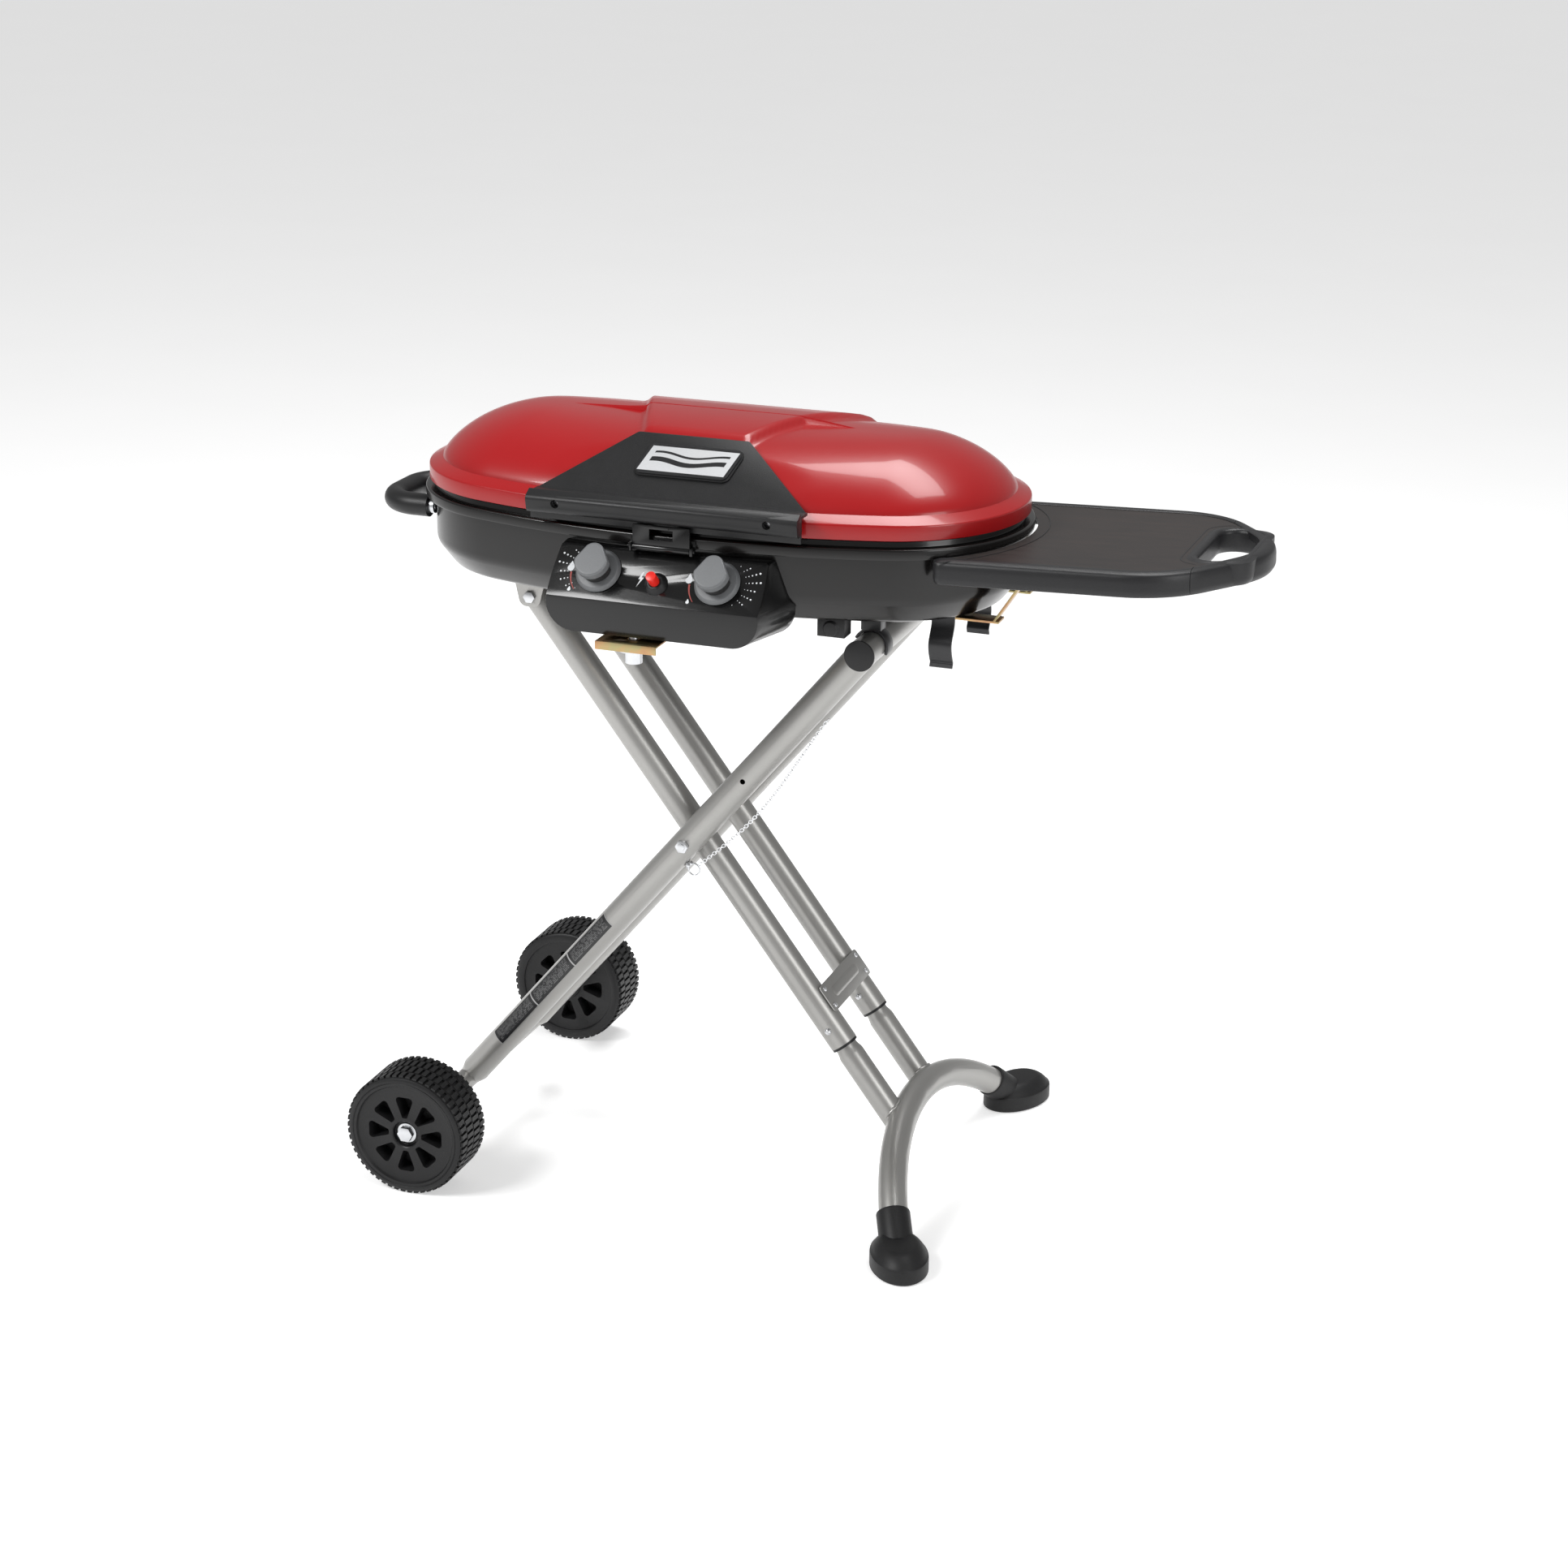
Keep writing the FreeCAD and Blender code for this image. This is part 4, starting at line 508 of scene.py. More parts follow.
def make_rim():
    section = eased([(-14, 757), (2, 757), (7.4, 757), (7.4, 755), (10.3, 754.6), (10.8, 757), (10.8, 765),
                     (9, 766.4), (0, 766), (0, 772), (-4, 772), (-4, 766), (-14, 766), (-14, 757)], 1.0, 2)
    return fix(rings("firebox_rim_ring", oval_rings(section), ENAMEL, joined=True),
               "cook_box", ("firebox_rim",))


# ---- lid ----------------------------------------------------------------------------
LEDGE_OUTSET, DOME_Z = -8.6, 797.0


def smoothstep(low, high, value):
    t = min(max((value - low) / (high - low), 0.0), 1.0)
    return t * t * (3 - 2 * t)


def lower_of(a, b, round_off):
    """The smaller of two heights, with the crease between them rounded off."""
    h = min(max(0.5 + (b - a) / (2 * round_off), 0.0), 1.0)
    return b * (1 - h) + a * h - round_off * h * (1 - h)


def dome_share(depth):
    u = min(depth / 132.0, 1.0)
    return (1 - (1 - u) ** 2.25) ** 0.76


def lid_height(x, y, depth):
    """Crown of the lid: a raised fan down the middle, lobes at both ends, a flat front slope."""
    lobes = lower_of(DOME_Z + 57 * dome_share(depth), 855 - 0.001208 * (y + 20) ** 2, 4.0)
    fan_top = lower_of(862 - 0.001208 * (y + 20) ** 2, DOME_Z + 67 * dome_share(depth), 3.0)
    half = 59 + (y + 88) * 77 / 214
    in_fan = smoothstep(half + 6, half - 5, abs(x))
    top = lobes + (fan_top - lobes) * in_fan
    slope = DOME_Z + 0.9 + 0.773 * (y + 160.4)
    return lower_of(top, slope, 2.5)


def make_lid():
    loops = oval_rings(eased([(4.6, 797 - 23), (6.4, 774), (6.4, 790), (LEDGE_OUTSET, DOME_Z)], 1.6)[:-1])
    depths = [0, 0.8, 2, 3.5, 5.5, 8, 11] + [14 + 2.8 * i for i in range(44)]
    crowns = []
    for depth in depths:
        crowns.append([Vector((p.x, p.y, lid_height(p.x, p.y, depth)))
                       for p in oval(LEDGE_OUTSET - depth, DOME_Z)])
    ridge = oval(-145.0, DOME_Z)
    for share in (0.86, 0.7, 0.54, 0.38, 0.22, 0.08):
        crowns.append([Vector((p.x, p.y * share, lid_height(p.x, p.y * share, 140))) for p in ridge])
    crowns[0] = [Vector((p.x, p.y, DOME_Z)) for p in crowns[0]]
    inner = [[Vector((p.x * 0.9965, p.y * 0.992, p.z - 1.9)) for p in loop] for loop in crowns[3::3]]
    inner = inner[::-1] + oval_rings([(-10.6, 794.6), (4.4, 788), (4.4, 776), (4.6, 774)])
    obj = rings("lid_shell_pressed", inner + loops + crowns, RED, smooth=42)
    return fix(obj, "lid", ("lid_shell",))


def make_badge():
    """Blank name plate on a black backing, leaning to the right as the front slope does."""
    run = Vector((0, 72.4, 56)).normalized()
    out = Vector((0, -run.z, run.y))
    start = Vector((0, -160.4, 797)) + run * 30 + out * 3.34
    lean = 11.0

    def outline(grow, height, lift):
        corners = [(-52 - grow, -grow), (52 + grow, -grow), (52 + lean + grow, 40 + grow),
                   (-52 + lean - grow, 40 + grow)]
        return [start + X * p.x + run * p.y + out * lift for p in rounded(corners, [7 + grow] * 4, 5)]
    backing = rings("badge_backing", [outline(2, 0, 0), outline(2, 0, 1.4), outline(1.4, 0, 2.0)], PLASTIC)
    fix(backing, "lid")
    loops = [outline(0, 0, 1.9), outline(0, 0, 3.0), outline(-0.8, 0, 3.6)]
    face = rings("badge_face", loops, PLATE)
    layer = face.data.uv_layers.new(name="plate")
    for corner in face.data.loops:
        p = face.data.vertices[corner.vertex_index].co - place(start)
        u, v = p.dot(X) * 1000, p.dot(run) * 1000
        layer.data[corner.index].uv = ((u - lean * v / 40 + 52) / 104, v / 40)
    return fix(face, "lid", ("badge",))


# ---- side table ---------------------------------------------------------------------
TABLE_X, TABLE_Z, TABLE_TILT = 275.0, 757.0, math.radians(2.0)


def tilted(p):
    x, z = p.x - TABLE_X, p.z - TABLE_Z
    c, s = math.cos(TABLE_TILT), math.sin(TABLE_TILT)
    return Vector((TABLE_X + x * c - z * s, p.y, TABLE_Z + x * s + z * c))


def table_outline(inset, z):
    half, tip = 138.0 - inset, 34.0 - inset * 0.45
    end = 600.0 - inset
    corners = [(TABLE_X, -half), (520.0, -half), (end, -tip), (end, tip), (520.0, half), (TABLE_X, half)]
    round_end = 95.0 - inset
    outline = rounded(corners, [10.0, 100.0 - inset, round_end, round_end, 100.0 - inset, 10.0], 12)
    return [tilted(Vector((p.x, p.y, TABLE_Z + z))) for p in outline]


def slot_outline(grow, z):
    corners = [(532 - grow, -74 - grow), (578 + grow, -53 - grow), (578 + grow, 53 + grow),
               (532 - grow, 74 + grow)]
    return [tilted(Vector((p.x, p.y, TABLE_Z + z))) for p in rounded(corners, [18 + grow / 2] * 4, 8)]


def prism_cutter(loop_low, loop_high):
    return rings("cutter", [loop_low, loop_high], PLASTIC)


def make_table():
    def box_zone(gap):
        return prism_cutter(oval(10 + gap, 600), oval(10 + gap, 900))
    section = eased([(17, -0.8), (15.4, 0.0), (9, 0.3), (1.6, -2.2), (0, -8), (0, -21), (3.4, -26),
                     (7, -26), (9, -22), (11, -9), (17, -8)], 2.6, 3)
    rail = rings("table_rail", [table_outline(inset, z) for inset, z in section], RAIL, joined=True)
    seam = rings("cutter", [[tilted(Vector(p)) for p in loop] for loop in (
        [(538.0, -200, 700), (538.5, -200, 700), (538.5, -200, 800), (538.0, -200, 800)],
        [(538.0, 200, 700), (538.5, 200, 700), (538.5, 200, 800), (538.0, 200, 800)])], PLASTIC)
    cut_by(rail, box_zone(4.0), seam)
    fix(finish_mesh(rail, 40), "cook_box", ("table_frame",))
    levels = [(17.3, -5), (17.3, -1.6), (17.9, -1.0)]
    top = rings("table_board", [table_outline(inset, z) for inset, z in levels], BOARD)
    cut_by(top, box_zone(4.0), prism_cutter(slot_outline(4, -60), slot_outline(4, 60)))
    fix(finish_mesh(top, 30), "cook_box", ("table_top",))
    lip = eased([(12, -1.2), (8.5, -0.6), (5, 0.7), (1.5, -0.4), (0, -3.5), (0, -20), (3, -25.5), (8, -25.5),
                 (11, -20), (12, -6)], 2.4, 3)
    grip = rings("table_grip_loop", [slot_outline(grow, z) for grow, z in lip], RAIL, joined=True)
    fix(grip, "cook_box", ("table_grip",))
    recess = [slot_outline(15, -0.9), slot_outline(15.8, -0.55), slot_outline(16.6, -0.9)]
    line = rings("recess_line", recess, RAIL, joined=True)
    cut_by(line, prism_cutter(
        [tilted(Vector(p)) for p in ((560, -140, 700), (700, -140, 700), (700, 140, 700), (560, 140, 700))],
        [tilted(Vector(p)) for p in ((560, -140, 800), (700, -140, 800), (700, 140, 800), (560, 140, 800))]))
    fix(finish_mesh(line, 60), "cook_box")


def make_table_groove():
    """Thin raised line on the board that follows the rim of the cook box."""
    loops = []
    for k in range(61):
        angle = math.radians(-56 + 112 * k / 60)
        ring = []
        for outset, z in ((26.2, -1.4), (26.2, -0.55), (27.3, -0.55), (27.3, -1.4)):
            reach = END_RADIUS + outset
            level = TABLE_Z + z
            ring.append(tilted(Vector((END_X + reach * math.cos(angle), reach * math.sin(angle), level))))
        loops.append(ring)
    return fix(rings("board_line", loops, RAIL, smooth=20), "cook_box")


# ---- repeated pieces, from Geometry Nodes -------------------------------------------
def geometry_tree(name, inputs):
    tree = bpy.data.node_groups.new(name, "GeometryNodeTree")
    tree.interface.new_socket("Geometry", in_out="INPUT", socket_type="NodeSocketGeometry")
    sockets = {}
    for label, kind, value in inputs:
        made = tree.interface.new_socket(label, in_out="INPUT", socket_type="NodeSocket" + kind)
        made.default_value = value
        sockets[label] = made.identifier
    tree.interface.new_socket("Geometry", in_out="OUTPUT", socket_type="NodeSocketGeometry")
    start, end = tree.nodes.new("NodeGroupInput"), tree.nodes.new("NodeGroupOutput")
    return tree, start, end, sockets


def add(tree, kind, settings=None, links=None, values=None):
    made = tree.nodes.new(kind)
    for key, value in (settings or {}).items():
        setattr(made, key, value)
    for key, value in (values or {}).items():
        made.inputs[key].default_value = value
    for key, source in (links or {}).items():
        tree.links.new(source, made.inputs[key])
    return made


def grown(name, base, tree, sockets, values, material):
    """Runs a tree on a mesh or curve and keeps the plain mesh that it makes."""
    obj = bpy.data.objects.new(name, base)
    bpy.context.collection.objects.link(obj)
    grow = obj.modifiers.new("grow", "NODES")
    grow.node_group = tree
    for label, value in values.items():
        grow[sockets[label]] = value
    graph = bpy.context.evaluated_depsgraph_get()
    graph.update()
    mesh = bpy.data.meshes.new_from_object(obj.evaluated_get(graph))
    bpy.data.objects.remove(obj, do_unlink=True)
    mesh.materials.clear()
    mesh.materials.append(material)
    made = bpy.data.objects.new(name, mesh)
    bpy.context.collection.objects.link(made)
    return made


def block_tree(material):
    """Tree that puts a small block on every point, turned by the point's own angles."""
    tree, start, end, sockets = geometry_tree("blocks", [("Size", "Vector", (0.001, 0.001, 0.001))])
    cube = add(tree, "GeometryNodeMeshCube", None, {"Size": start.outputs["Size"]})
    turned = add(tree, "GeometryNodeInputNamedAttribute", {"data_type": "FLOAT_VECTOR"}, None, {0: "turned"})
    spots = add(tree, "GeometryNodeMeshToPoints", None, {"Mesh": start.outputs["Geometry"]})
    put = add(tree, "GeometryNodeInstanceOnPoints", None, {
        "Points": spots.outputs[0], "Instance": cube.outputs["Mesh"], "Rotation": turned.outputs[0]})
    real = add(tree, "GeometryNodeRealizeInstances", None, {0: put.outputs[0]})
    coat = add(tree, "GeometryNodeSetMaterial", None, {0: real.outputs[0]}, {"Material": material})
    tree.links.new(coat.outputs[0], end.inputs[0])
    return tree, sockets


def blocks(name, spots, size, material, smooth=20):
    """Blocks of one size in millimetres at (place, turn) pairs."""
    mesh = bpy.data.meshes.new(name)
    mesh.from_pydata([place(at) for at, _ in spots], [], [])
    turned = mesh.attributes.new("turned", "FLOAT_VECTOR", "POINT")
    for i, (_, angles) in enumerate(spots):
        turned.data[i].vector = angles
    tree, sockets = block_tree(material)
    made = grown(name, mesh, tree, sockets, {"Size": [s / 1000 for s in size]}, material)
    return finish_mesh(made, smooth)


# ---- wheels -------------------------------------------------------------------------
wheel_low, wheel_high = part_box("front_wheel")
AXLE = Vector((((wheel_low.x + wheel_high.x) / 2 - MIDDLE_X) * 1000, 0, 71.0))
POCKETS, TREAD_BLOCKS, TREAD_TOP = 8, 54, 70.9
# each row: y, width along the axle, shift as a share of the pitch, height
TREAD_ROWS = ((204.6, 11.0, 0.5, 4.2), (219.1, 14.0, 0, 4.6),
              (235.1, 14.0, 0.35, 4.6), (249.8, 11.0, 0.85, 4.2))
RIB_ROWS = (211.1, 227.1, 243.1)


def turned_piece(name, profile, centre, material, sides=96, smooth=35):
    """Solid of revolution about Y from (radius, y) pairs, joined up into a ring section."""
    loops = []
    for radius, y in profile:
        loops.append([Vector((centre.x + radius * math.cos(2 * math.pi * k / sides), y,
                              centre.z + radius * math.sin(2 * math.pi * k / sides))) for k in range(sides)])
    return rings(name, loops, material, joined=True, smooth=smooth)


def make_wheel(side, body, node):
    """Wheel with wedge pockets in both faces, thin ribs and four rows of tread blocks."""
    def y(value):
        return side * value
    ribs = []
    for at_y in RIB_ROWS:
        ribs += [(68.6, at_y - 0.9), (70.5, at_y - 0.6), (70.5, at_y + 0.6), (68.6, at_y + 0.9)]
    profile = [(6.06, 196.6), (14.4, 196.6), (15.2, 197.4), (15.6, 199), (56.6, 199), (57.8, 198.4),
               (58.4, 196.8), (60, 196), (66, 196), (68.4, 197.6), (68.6, 199), *ribs,
               (68.6, 255), (68, 256.6), (65.6, 258), (63.2, 258), (62.7, 257.4), (62.2, 257.4),
               (61.7, 258), (58.8, 258), (57.4, 255.6), (56, 255), (22, 255), (20, 255.6),
               (16.4, 255.6), (15.2, 254.6), (14.8, 249.6), (14.2, 249), (6.06, 249)]
    wheel = turned_piece(node + "_moulded", [(r, y(v)) for r, v in profile], AXLE, WHEEL)
    for i in range(POCKETS):
        middle = math.radians(90 + 360 / POCKETS * i)

        def wedge(at_y, grow):
            corners = [(21 - grow, -0.15), (45 + grow, -0.26), (45 + grow, 0.26), (21 - grow, 0.15)]
            flat = [(r * math.cos(a + middle), r * math.sin(a + middle)) for r, a in corners]
            return [Vector((AXLE.x + p.x, y(at_y), AXLE.z + p.y)) for p in rounded(flat, [2, 4, 4, 2], 3)]
        cut_by(wheel, rings("cutter", [wedge(236, -1.5), wedge(256.5, 1.2)], WHEEL),
               rings("cutter", [wedge(218, -1.5), wedge(197.5, 1.2)], WHEEL))
    finish_mesh(wheel, 35)
    fix(wheel, body, (node,))
    for row, (at_y, width, phase, high) in enumerate(TREAD_ROWS):
        spots = []
        for k in range(TREAD_BLOCKS):
            angle = 2 * math.pi * (k + phase) / TREAD_BLOCKS
            reach = TREAD_TOP - high / 2
            at = AXLE + X * (reach * math.cos(angle)) + Y * y(at_y) + Z * (reach * math.sin(angle))
            spots.append((at, (0, -angle, 0)))
        fix(blocks(f"{node}_tread_{row}", spots, (high, width, 5.1), WHEEL), body)


# ---- legs ---------------------------------------------------------------------------
INNER_ANGLE, CROSSING_AT = math.radians(52.85), 318.0
LEG_HINGE = Vector((-202.0, 0, 650.0))
INNER_RUN = Vector((math.cos(INNER_ANGLE), 0, -math.sin(INNER_ANGLE)))
INNER_OVER = Vector((-INNER_RUN.z, 0, INNER_RUN.x))
CROSSING = LEG_HINGE + INNER_RUN * CROSSING_AT
OUTER_RUN = (CROSSING - AXLE).normalized()
OUTER_DOWN = Vector((OUTER_RUN.z, 0, -OUTER_RUN.x))
TUBE, INNER_Y, OUTER_Y = 15.9, 53.0, 87.5
BOW_RADIUS, BOW_ANGLE = 285.0, math.radians(60.0)
BOW_MIDDLE = LEG_HINGE + INNER_RUN * 703.0 + INNER_OVER * 12.0
BOW_RUN = Vector((math.cos(BOW_ANGLE), 0, -math.sin(BOW_ANGLE)))
BOW_TURN = math.acos(1 - (BOW_MIDDLE.z - 24.0) / -BOW_RUN.z / BOW_RADIUS)


def on_bow(angle):
    return BOW_MIDDLE + BOW_RUN * (BOW_RADIUS * (1 - math.cos(angle))) + Y * (BOW_RADIUS * math.sin(angle))


FOOT_LENGTH, FOOT_WIDTH, FOOT_OUT = 46.9, 31.4, 27.0
# height and share of the full outline, from the hollow underneath to the top of the shoulder
FOOT_LEVELS = ((0.0, 0.62), (2.6, 0.66), (2.6, 0.80), (0.0, 0.84), (0.0, 0.965), (1.4, 1.0), (14.6, 1.0),
               (16.8, 0.985), (17.8, 0.95), (20.6, 0.90), (24, 0.82), (27.2, 0.72), (29.4, 0.62),
               (30.0, 0.54))


def make_foot(side, name, nodes=()):
    """Rubber boot: an oval pad with a sloping shoulder, and a sleeve over the end of the bow."""
    end = on_bow(side * BOW_TURN)
    run = BOW_RUN * math.sin(BOW_TURN) + Y * (side * math.cos(BOW_TURN))
    flat = Vector((run.x, run.y, 0)).normalized()
    across = Vector((-flat.y, flat.x, 0))
    at = Vector((end.x, end.y, 0)) + flat * FOOT_OUT
    turns = [2 * math.pi * k / 64 for k in range(64)]
    loops = []
    for z, scale in FOOT_LEVELS:
        half_length, half_width = FOOT_LENGTH * scale, FOOT_WIDTH * scale
        loops.append([at + flat * (half_length * math.cos(t)) + across * (half_width * math.sin(t)) + Z * z
                      for t in turns])
    fix(rings(name + "_pad", loops, RUBBER, smooth=32), "inner_legs", nodes)
    over = across.cross(run).normalized()
    sleeve = []
    for along, radius in ((-26, 16.4), (-26, 17.7), (-25.4, 18.3), (-24, 18.6), (10, 18.6), (13, 18.4)):
        centre = end + run * along
        sleeve.append([centre + over * (radius * math.cos(t)) + over.cross(run) * (radius * math.sin(t))
                       for t in turns])
    fix(rings(name + "_sleeve", sleeve, RUBBER, smooth=40), "inner_legs")


def make_weld(side):
    """Weld bead round the joint between a lower leg and the foot bow."""
    path, sides = [], 40
    axis_at = LEG_HINGE + Y * (side * INNER_Y)
    for k in range(sides):
        a = 2 * math.pi * k / sides
        offset = INNER_OVER * (14.9 * math.cos(a)) + Y * (14.9 * math.sin(a))
        low, high = 640.0, 735.0
        for _ in range(26):
            middle = (low + high) / 2
            p = axis_at + offset + INNER_RUN * middle
            near = min((p - on_bow(side * (0.10 + 0.18 * j / 16))).length for j in range(17))
            if near > TUBE + 0.2:
                low = middle
            else:
                high = middle
        if low < 720:
            path.append(axis_at + offset + INNER_RUN * low)
    return path


def make_welds():
    for side, name in ((-1, "front_weld"), (1, "rear_weld")):
        path = make_weld(side)
        if len(path) > 20:
            bead = hoop(name, path, 1.9, SILVER, 10)
            for i, vertex in enumerate(bead.data.vertices):
                ripple = math.sin(i // 10 * 2.4) * 0.00035
                vertex.co += Vector((INNER_RUN.x, 0, INNER_RUN.z)) * -ripple
            fix(bead, "inner_legs")


def make_leg_label():
    """Dark label wrapped on the front outer leg."""
    facing = (Y * -0.93 - OUTER_DOWN * 0.37).normalized()
    side = OUTER_RUN.cross(facing)
    points, faces, uvs = [], [], []
    across, along = 12, 40
    for i in range(along + 1):
        d = -350.0 + 215.0 * i / along
        for j in range(across + 1):
            a = math.radians(-33 + 66 * j / across)
            points.append(CROSSING - Y * OUTER_Y + OUTER_RUN * d
                          + (facing * math.cos(a) + side * math.sin(a)) * (TUBE + 0.14))
            uvs.append((j / across, i / along))
    for i in range(along):
        for j in range(across):
            a = i * (across + 1) + j
            faces.append((a, a + 1, a + across + 2, a + across + 1))
    label = piece("leg_label", points, faces, LABEL)
    thick = label.modifiers.new("thick", "SOLIDIFY")
    thick.thickness, thick.offset = 0.00012, 1.0
    layer = label.data.uv_layers.new(name="label")
    for corner in label.data.loops:
        layer.data[corner.index].uv = uvs[corner.vertex_index]
    evaluated(label)
    finish_mesh(label, 40)
    return fix(label, "outer_legs")


def make_tie_slot():
    """Long pressed rib on the tie plate."""
    at = LEG_HINGE + INNER_RUN * (603.0 - 52.0) + INNER_OVER * (TUBE + 0.5 + 1.6)
    loops = []
    for half_w, half_l, lift in ((6.0, 40, -0.4), (6.0, 40, 0.1), (4.2, 38, 1.3), (2.4, 36, 1.5)):
        corners = [(-half_w, -half_l), (half_w, -half_l), (half_w, half_l), (-half_w, half_l)]
        loops.append([at + INNER_RUN * p.x + Y * p.y + INNER_OVER * lift
                      for p in rounded(corners, [half_w * 0.98] * 4, 6)])
    return fix(rings("tie_plate_rib", loops, SILVER, smooth=50), "inner_legs")


# ---- under-box fittings -------------------------------------------------------------
# shares of half the width and of the thickness
STRAP_SECTION = ((-1, -0.5), (-1, 0.5), (-0.96, 0.5), (0.96, 0.5),
                 (1, 0.5), (1, -0.5), (0.96, -0.5), (-0.96, -0.5))


def strap(name, side_points, x, width, thick, material):
    """Bent flat strap from (y, z) points, smoothed, with its width along X."""
    fine = []
    for i in range(len(side_points) - 1):
        p0 = Vector(side_points[max(i - 1, 0)])
        p1, p2 = Vector(side_points[i]), Vector(side_points[i + 1])
        p3 = Vector(side_points[min(i + 2, len(side_points) - 1)])
        for k in range(6):
            t = k / 6
            fine.append(0.5 * ((2 * p1) + (p2 - p0) * t + (2 * p0 - 5 * p1 + 4 * p2 - p3) * t ** 2
                               + (3 * p1 - p0 - 3 * p2 + p3) * t ** 3))
    fine.append(Vector(side_points[-1]))
    loops = []
    for i, p in enumerate(fine):
        run = (fine[min(i + 1, len(fine) - 1)] - fine[max(i - 1, 0)]).normalized()
        across = Vector((run.y, -run.x))
        ring = []
        for u, v in STRAP_SECTION:
            q = p + across * (thick * v)
            ring.append(Vector((x + width / 2 * u, q.x, q.y)))
        loops.append(ring)
    return rings(name, loops, material, smooth=45)


def make_hooks():
    for side, name in ((-1, "front_hook"), (1, "rear_hook")):
        outer = INNER_Y + TUBE + 2.7
        profile = [(side * (outer - 9), 679.8), (side * (outer - 8), 668), (side * (outer - 4), 660),
                   (side * (outer + 1.5), 650), (side * (outer + 1.0), 641), (side * (outer - 3), 632),
                   (side * (outer - 5.5), 627), (side * (outer - 3), 622)]
        hook = strap(name, profile, 268.0, 25.0, 2.4, SPRING)
        fix(hook, "cook_box", ("storage_hooks",) if side < 0 else ())


# ---- control panel print ------------------------------------------------------------
FACE_TOP = Vector((0, -180.0, 746.0))
FACE_RUN = (Vector((0, -220.0, 699.0)) - FACE_TOP).normalized()
FACE_OUT = Vector((0, FACE_RUN.z, -FACE_RUN.y))


def on_face(x, down, lift=0.12):
    return FACE_TOP + X * x + FACE_RUN * down + FACE_OUT * lift


def print_shape(name, outlines, material, thick=0.14):
    """Thin printed shapes on the panel's face, from lists of (x, down) outlines."""
    points, faces = [], []
    for outline in outlines:
        start, count = len(points), len(outline)
        points += [on_face(x, down, 0.02) for x, down in outline]
        points += [on_face(x, down, 0.02 + thick) for x, down in outline]
        faces.append(tuple(range(start, start + count)))
        faces.append(tuple(reversed(range(start + count, start + 2 * count))))
        for i in range(count):
            j = (i + 1) % count
            faces.append((start + i, start + count + i, start + count + j, start + j))
    return fix(finish_mesh(outward(piece(name, points, faces, material)), 20), "cook_box")


def disc(x, down, radius, sides=10):
    turns = [2 * math.pi * k / sides for k in range(sides)]
    return [(x + radius * math.cos(t), down + radius * math.sin(t)) for t in turns]


def flame(x, down, size):
    shape = [(0, -1.15), (0.34, -0.62), (0.62, -0.15), (0.70, 0.35), (0.48, 0.82), (0, 1.0), (-0.48, 0.82),
             (-0.70, 0.35), (-0.60, -0.05), (-0.36, -0.28), (-0.30, -0.62)]
    return [(x + u * size, down + v * size) for u, v in shape]


def make_panel_print():
    dots = []
    for side, knob_x in ((-1, -66.0), (1, 66.0)):
        for arm in range(9):
            angle = math.radians(-62 + arm * 13.5)
            for k in range(6):
                reach = 30.5 + k * (3.2 + 0.18 * k)
                if k > 5 - abs(arm - 3) * 0.55:
                    continue
                x = knob_x + side * reach * math.cos(angle)
                down = 26.5 + reach * math.sin(angle) * 0.98
                if 3.5 < down < 50 and abs(x) < 113 - down * 0.02:
                    dots.append(disc(x, down, 0.45 + 0.17 * k))
    print_shape("panel_dots", dots, WHITE_PRINT)
    shapes, arcs = [], []
    for knob_x in (-66.0, 66.0):
        shapes += [flame(knob_x - 31.5, 24.0, 5.4), flame(knob_x - 27.5, 49.5, 2.6)]
        arc_out, arc_in = [], []
        for k in range(9):
            angle = math.radians(180 - 4 - k * 5.0)
            arc_out.append((knob_x + 31.0 * math.cos(angle), 28.0 + 31.0 * math.sin(angle)))
            arc_in.append((knob_x + (31.0 - 0.7 - 0.16 * (8 - k)) * math.cos(angle),
                           28.0 + (31.0 - 0.7 - 0.16 * (8 - k)) * math.sin(angle)))
        arcs.append(arc_out + arc_in[::-1])
    bolt = [(-17.5, 22), (-20.6, 30.4), (-18.2, 30.4), (-21.0, 39.5), (-14.8, 28.2), (-17.4, 28.2),
            (-15.6, 22)]
    print_shape("panel_signs", shapes + [bolt], WHITE_PRINT)
    print_shape("panel_arcs", arcs, RED_PRINT)


# ---- chain --------------------------------------------------------------------------
CHAIN_POINTS = [(47.255, -87.5, 555.126), (21.287, -87.5, 515.893), (-3.529, -87.5, 475.699),
                (-31.032, -87.5, 437.748), (-62.758, -87.5, 403.32), (-97.939, -87.5, 371.776)]


